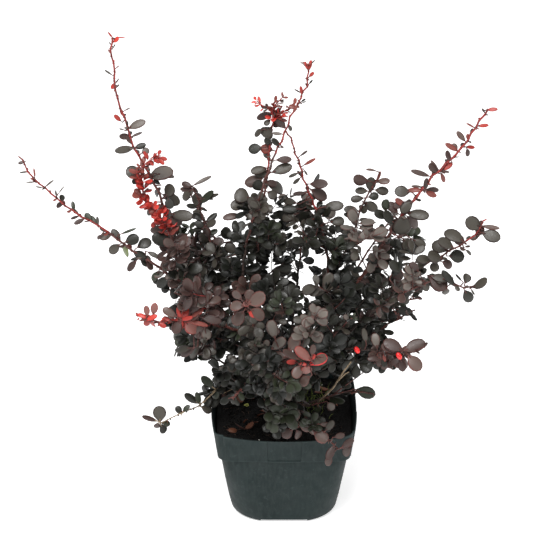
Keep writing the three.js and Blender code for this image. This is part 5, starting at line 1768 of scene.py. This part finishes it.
def drain_cutter(turn):
    bpy.ops.mesh.primitive_cylinder_add(vertices=40, radius=DRAIN_RADIUS * MM, depth=20 * MM)
    return turned_out(bpy.context.object, CHANNEL_END + DRAIN_FROM_CHANNEL, turn)


def cut_out(pot, tool):
    """Cuts a temporary tool out of the pot for good."""
    cut = pot.modifiers.new("cut", "BOOLEAN")
    cut.object = tool
    cut.solver = "MANIFOLD"
    bpy.context.view_layer.update()
    graph = bpy.context.evaluated_depsgraph_get()
    solid = bpy.data.meshes.new_from_object(pot.evaluated_get(graph))
    pot.modifiers.clear()
    pot.data = solid
    bpy.data.objects.remove(tool)


def pot_piece():
    """The pot's shell, with a channel and a drain hole cut out of its underside at each side."""
    shell = Parts()
    shell_of(shell, pot_rings())
    pot = shell.piece("pot_shell", [pot_material()], "pot", ["pot"])
    for make_cutter in (channel_cutter, drain_cutter):
        for side in range(4):
            cut_out(pot, make_cutter(side * math.pi / 2))
    pot.data.polygons.foreach_set("use_smooth", np.ones(len(pot.data.polygons), bool))
    pot.data.set_sharp_from_angle(angle=SHARP_EDGE)


pot_piece()

# The peat and what lies on it

PEAT_RINGS = 44
BALL_EDGE = 1.1  # an edge of the ball is a little shorter than this, for a radius of 1
CRUMBS = 900
CRUMB_SIZES = (0.5, 0.8, 1.2, 1.8, 2.6)
FIBRES = 160
FIBRE_RADII = (0.18, 0.3, 0.34, 0.3, 0.15)
GRANULE_RADIUS = 1.3
STRANDS = 70
STRAND_RADII = (0.55, 0.5, 0.45, 0.4, 0.3, 0.12)
FAR_LEAVES = 14

# White granules of plant food, the yellow ring of a spent one and the dry leaves in front, in pixels
WHITE_GRANULES = (
    (268, 425), (270, 424), (259, 438), (279, 421), (259, 390), (302, 384), (322, 384), (240, 384),
)
YELLOW_RING = (246.5, 406)
NEAR_LEAVES = (
    (231, 432), (237, 428), (241, 431), (246, 424), (249, 430), (253, 427), (262, 417), (267, 413),
    (330, 424),
)
STRANDS_AT = ((311, 9), (404, 8))  # the middle and the spread of the green strands, across and down

DRY_LEAVES = {
    "dry": (linear(104, 62, 42), linear(72, 40, 28)),
    "dry_pale": (linear(138, 92, 72), linear(104, 62, 48)),
    "dry_dark": (linear(78, 46, 34), linear(54, 30, 24)),
}


def peat_height(x, y):
    """The peat's level: it rises to the trunk, with clods and hollows."""
    out = min(1.0, max(abs(x), abs(y)) / WALL_HALF)
    lumps = 2.2 * noise.fractal(Vector((x, y, 0)) * 0.055, 1.0, 2.0, 4)
    crumbs = 0.9 * noise.fractal(Vector((x, y, 5)) * 0.35, 0.8, 2.1, 3)
    return SOIL_LEVEL - SOIL_CROWN * out**2 + (lumps + crumbs) * (1 if out < 0.94 else 0.4) - 0.6


def peat_bed():
    """The peat fills the pot from its floor, and its top is a fine grid with the peat's relief."""
    peat = Parts()
    inset = WALL + GAP
    rings = [wall_ring(FLOOR + GAP + (WALL_TOP - FLOOR) * i / 6, FLOOR, inset) for i in range(7)]
    rings.append(collar_ring(0.05, inset + GAP))
    edge = collar_ring(0.36, inset + GAP)
    for i in range(PEAT_RINGS):
        scale = 1 - i / PEAT_RINGS
        rings.append([(x * scale, y * scale, peat_height(x * scale, y * scale)) for x, y, _ in edge])
    shell_of(peat, rings)
    peat.piece("peat_bed", [peat_material("peat", linear(17, 15, 14), linear(34, 28, 23))], "peat", ["soil"])


def ball():
    """The twelve corners and twenty faces of a small ball."""
    ratio = (1 + math.sqrt(5)) / 2
    corners = []
    for a, b in ((1, ratio), (-1, ratio), (1, -ratio), (-1, -ratio)):
        corners += [(0, a, b), (a, b, 0), (b, 0, a)]
    corners = np.array(corners) / math.hypot(1, ratio)
    faces = []
    for i, j, k in itertools.combinations(range(len(corners)), 3):
        a, b, c = corners[i], corners[j], corners[k]
        if max(np.linalg.norm(a - b), np.linalg.norm(b - c), np.linalg.norm(a - c)) < BALL_EDGE:
            outward = np.dot(np.cross(b - a, c - a), a) > 0
            faces.append((i, j, k) if outward else (i, k, j))
    return corners, np.array(faces)


BALL_CORNERS, BALL_FACES = ball()


def lump(parts, place, size, squash=0.7, rough=0.35):
    """A small crumb or granule: a ball of few faces, each corner pushed in or out."""
    push = np.array([1 + chance.uniform(-rough, rough) for _ in BALL_CORNERS])
    shape = BALL_CORNERS * push[:, None] * size * np.array([1, chance.uniform(0.7, 1), squash])
    spin = chance.uniform(0, 2 * math.pi)
    turn = np.array([[math.cos(spin), -math.sin(spin), 0], [math.sin(spin), math.cos(spin), 0], [0, 0, 1]])
    parts.add(shape @ turn.T + place, [BALL_FACES])


def on_peat(x, y, lift=0.0):
    return np.array([x, y, peat_height(x, y) + lift])


def scatter():
    """An even random place on the peat, clear of the wall."""
    reach = WALL_HALF - CLEARANCE
    return chance.uniform(-reach, reach), chance.uniform(-reach, reach)


def peat_crumbs():
    crumbs = Parts()
    for _ in range(CRUMBS):
        size = chance.choice(CRUMB_SIZES) * chance.uniform(0.7, 1.2)
        lump(crumbs, on_peat(*scatter(), size * 0.25), size)
    crumbs.piece("peat_crumbs", [peat_material("peat_crumb", linear(21, 18, 16), linear(48, 38, 30))], "peat")


def peat_fibres():
    """Short bent fibres that lie on the peat."""
    fibres = Parts()
    for _ in range(FIBRES):
        x, y = scatter()
        turn = chance.uniform(0, 2 * math.pi)
        reach = chance.uniform(3, 12)
        curve = chance.uniform(-0.25, 0.25) * reach
        along = np.array([math.cos(turn), math.sin(turn), 0])
        aside = np.array([-math.sin(turn), math.cos(turn), 0])
        middle = on_peat(x, y, 0.7)
        shares = np.linspace(-0.5, 0.5, 5)
        line = [middle + along * s * reach + aside * curve * (1 - 4 * s * s) for s in shares]
        add_tube(fibres, line, FIBRE_RADII, 4)
    finish = bark_material("fibre", linear(74, 54, 38), linear(38, 27, 19), 0.3)
    fibres.piece("peat_fibres", [finish], "peat")


def white_granules():
    granules = Parts()
    for pixel in WHITE_GRANULES:
        lump(granules, on_peat(*seen_on_peat(*pixel)[:2], 0.8), GRANULE_RADIUS, 0.85, 0.08)
    granules.piece("granules_white", [speck_material("granule_white", linear(226, 226, 216), 0.5)], "peat")


def ring_granule():
    """A spent granule: an open ring of yellow-green skin."""
    ring = Parts()
    middle = on_peat(*seen_on_peat(*YELLOW_RING)[:2], 1.2)
    turns = np.linspace(0.4, 2 * math.pi, 16)
    line = [middle + np.array([2.4 * math.cos(t), 2.1 * math.sin(t), 0.5 * math.sin(2 * t)]) for t in turns]
    add_tube(ring, line, [0.75] * len(line), 7)
    ring.piece("granule_yellow", [speck_material("granule_yellow", linear(206, 208, 112), 0.5)], "peat")


def fallen_leaves():
    """Dry leaves on the peat: some in front, where the photograph shows them, and some behind."""
    fallen = {kind: Parts() for kind in DRY_LEAVES}
    near = [seen_on_peat(*pixel)[:2] for pixel in NEAR_LEAVES]
    far = [(x, abs(y)) for x, y in (scatter() for _ in range(FAR_LEAVES))]
    for x, y in near + far:
        turn = chance.uniform(0, 2 * math.pi)
        along = unit(np.array([math.cos(turn), math.sin(turn), chance.uniform(-0.1, 0.5)]))
        face = unit(np.array([chance.uniform(-0.8, 0.8), chance.uniform(-0.8, 0.8), 1.0]))
        face = unit(face - along * np.dot(face, along))
        length = chance.uniform(15, 22)
        foot = on_peat(x, y, 2.2) - along * length / 2 * np.array([1, 1, 0])
        width = length * chance.uniform(0.4, 0.62)
        leaf = (foot, along, face, length, width, chance.uniform(0.4, 1.0), 0.9, chance.uniform(-0.6, 0.9))
        add_leaf(fallen[chance.choice(("dry", "dry", "dry_pale", "dry_dark"))], leaf)
    for kind, parts in fallen.items():
        parts.piece(f"leaves_{kind}", leaf_materials(kind, *DRY_LEAVES[kind], 0.6, 0.7), "leaves")


def green_strands():
    """Fine green shoots of weed and moss at the foot of the plant."""
    strands = Parts()
    for _ in range(STRANDS):
        x, y, _ = seen_on_peat(*(chance.gauss(middle, spread) for middle, spread in STRANDS_AT))
        foot = on_peat(x, y, -0.5)
        lean = np.array([chance.gauss(0, 5), chance.gauss(-2, 5), chance.uniform(5, 16)])
        bow = np.array([chance.gauss(0, 2), chance.gauss(0, 2), 0])
        line = [foot + lean * s + bow * math.sin(s * math.pi) for s in np.linspace(0, 1, 6)]
        add_tube(strands, line, STRAND_RADII, 4)
    finish = bark_material("weed", linear(112, 124, 58), linear(64, 78, 34), 0.3)
    strands.piece("green_strands", [finish], "leaves")


peat_bed()
peat_crumbs()
peat_fibres()
white_granules()
ring_granule()
fallen_leaves()
green_strands()

# Studio

FLOOR_HALF = 6.0
FLOOR_GLOW = 0.55
WORLD_LIGHT = 0.6
# Name, place, power in watts and side in metres of each soft light
LIGHTS = (("key", (-0.45, -1.15, 2.6), 78, 1.3), ("fill", (1.6, -1.6, 1.4), 12, 1.6))


def pale_floor():
    mesh = bpy.data.meshes.new("floor")
    corners = [(x * FLOOR_HALF, y * FLOOR_HALF, 0) for x, y in ((-1, -1), (1, -1), (1, 1), (-1, 1))]
    mesh.from_pydata(corners, [], [(0, 1, 2, 3)])
    floor = bpy.data.objects.new("floor", mesh)
    bpy.context.scene.collection.objects.link(floor)
    made = bpy.data.materials.new("floor_white")
    made.use_nodes = True
    shader = made.node_tree.nodes["Principled BSDF"]
    shader.inputs["Base Color"].default_value = (0.9, 0.9, 0.9, 1)
    shader.inputs["Emission Color"].default_value = (1, 1, 1, 1)
    shader.inputs["Emission Strength"].default_value = FLOOR_GLOW
    shader.inputs["Roughness"].default_value = 0.9
    shader.inputs["Specular IOR Level"].default_value = 0.1
    mesh.materials.append(made)


def soft_light(name, place, power, size):
    lamp = bpy.data.lights.new(name, "AREA")
    lamp.energy = power
    lamp.size = size
    made = bpy.data.objects.new(name, lamp)
    made.location = place
    made.rotation_euler = (CAMERA_AIM - Vector(place)).to_track_quat("-Z", "Y").to_euler()
    bpy.context.scene.collection.objects.link(made)


def studio():
    pale_floor()
    world = bpy.data.worlds.new("studio")
    world.use_nodes = True
    world.node_tree.nodes["Background"].inputs["Color"].default_value = (1, 1, 1, 1)
    world.node_tree.nodes["Background"].inputs["Strength"].default_value = WORLD_LIGHT
    bpy.context.scene.world = world
    for light in LIGHTS:
        soft_light(*light)
    bpy.context.scene.view_settings.view_transform = "Standard"


def camera():
    data = bpy.data.cameras.new("camera")
    data.lens = LENS
    data.sensor_width = SENSOR
    made = bpy.data.objects.new("camera", data)
    back = Vector(CAMERA_BACK)
    made.location = CAMERA_AIM + back * CAMERA_DISTANCE
    made.rotation_euler = (-back).to_track_quat("-Z", "Y").to_euler()
    bpy.context.scene.collection.objects.link(made)
    bpy.context.scene.camera = made


studio()
camera()
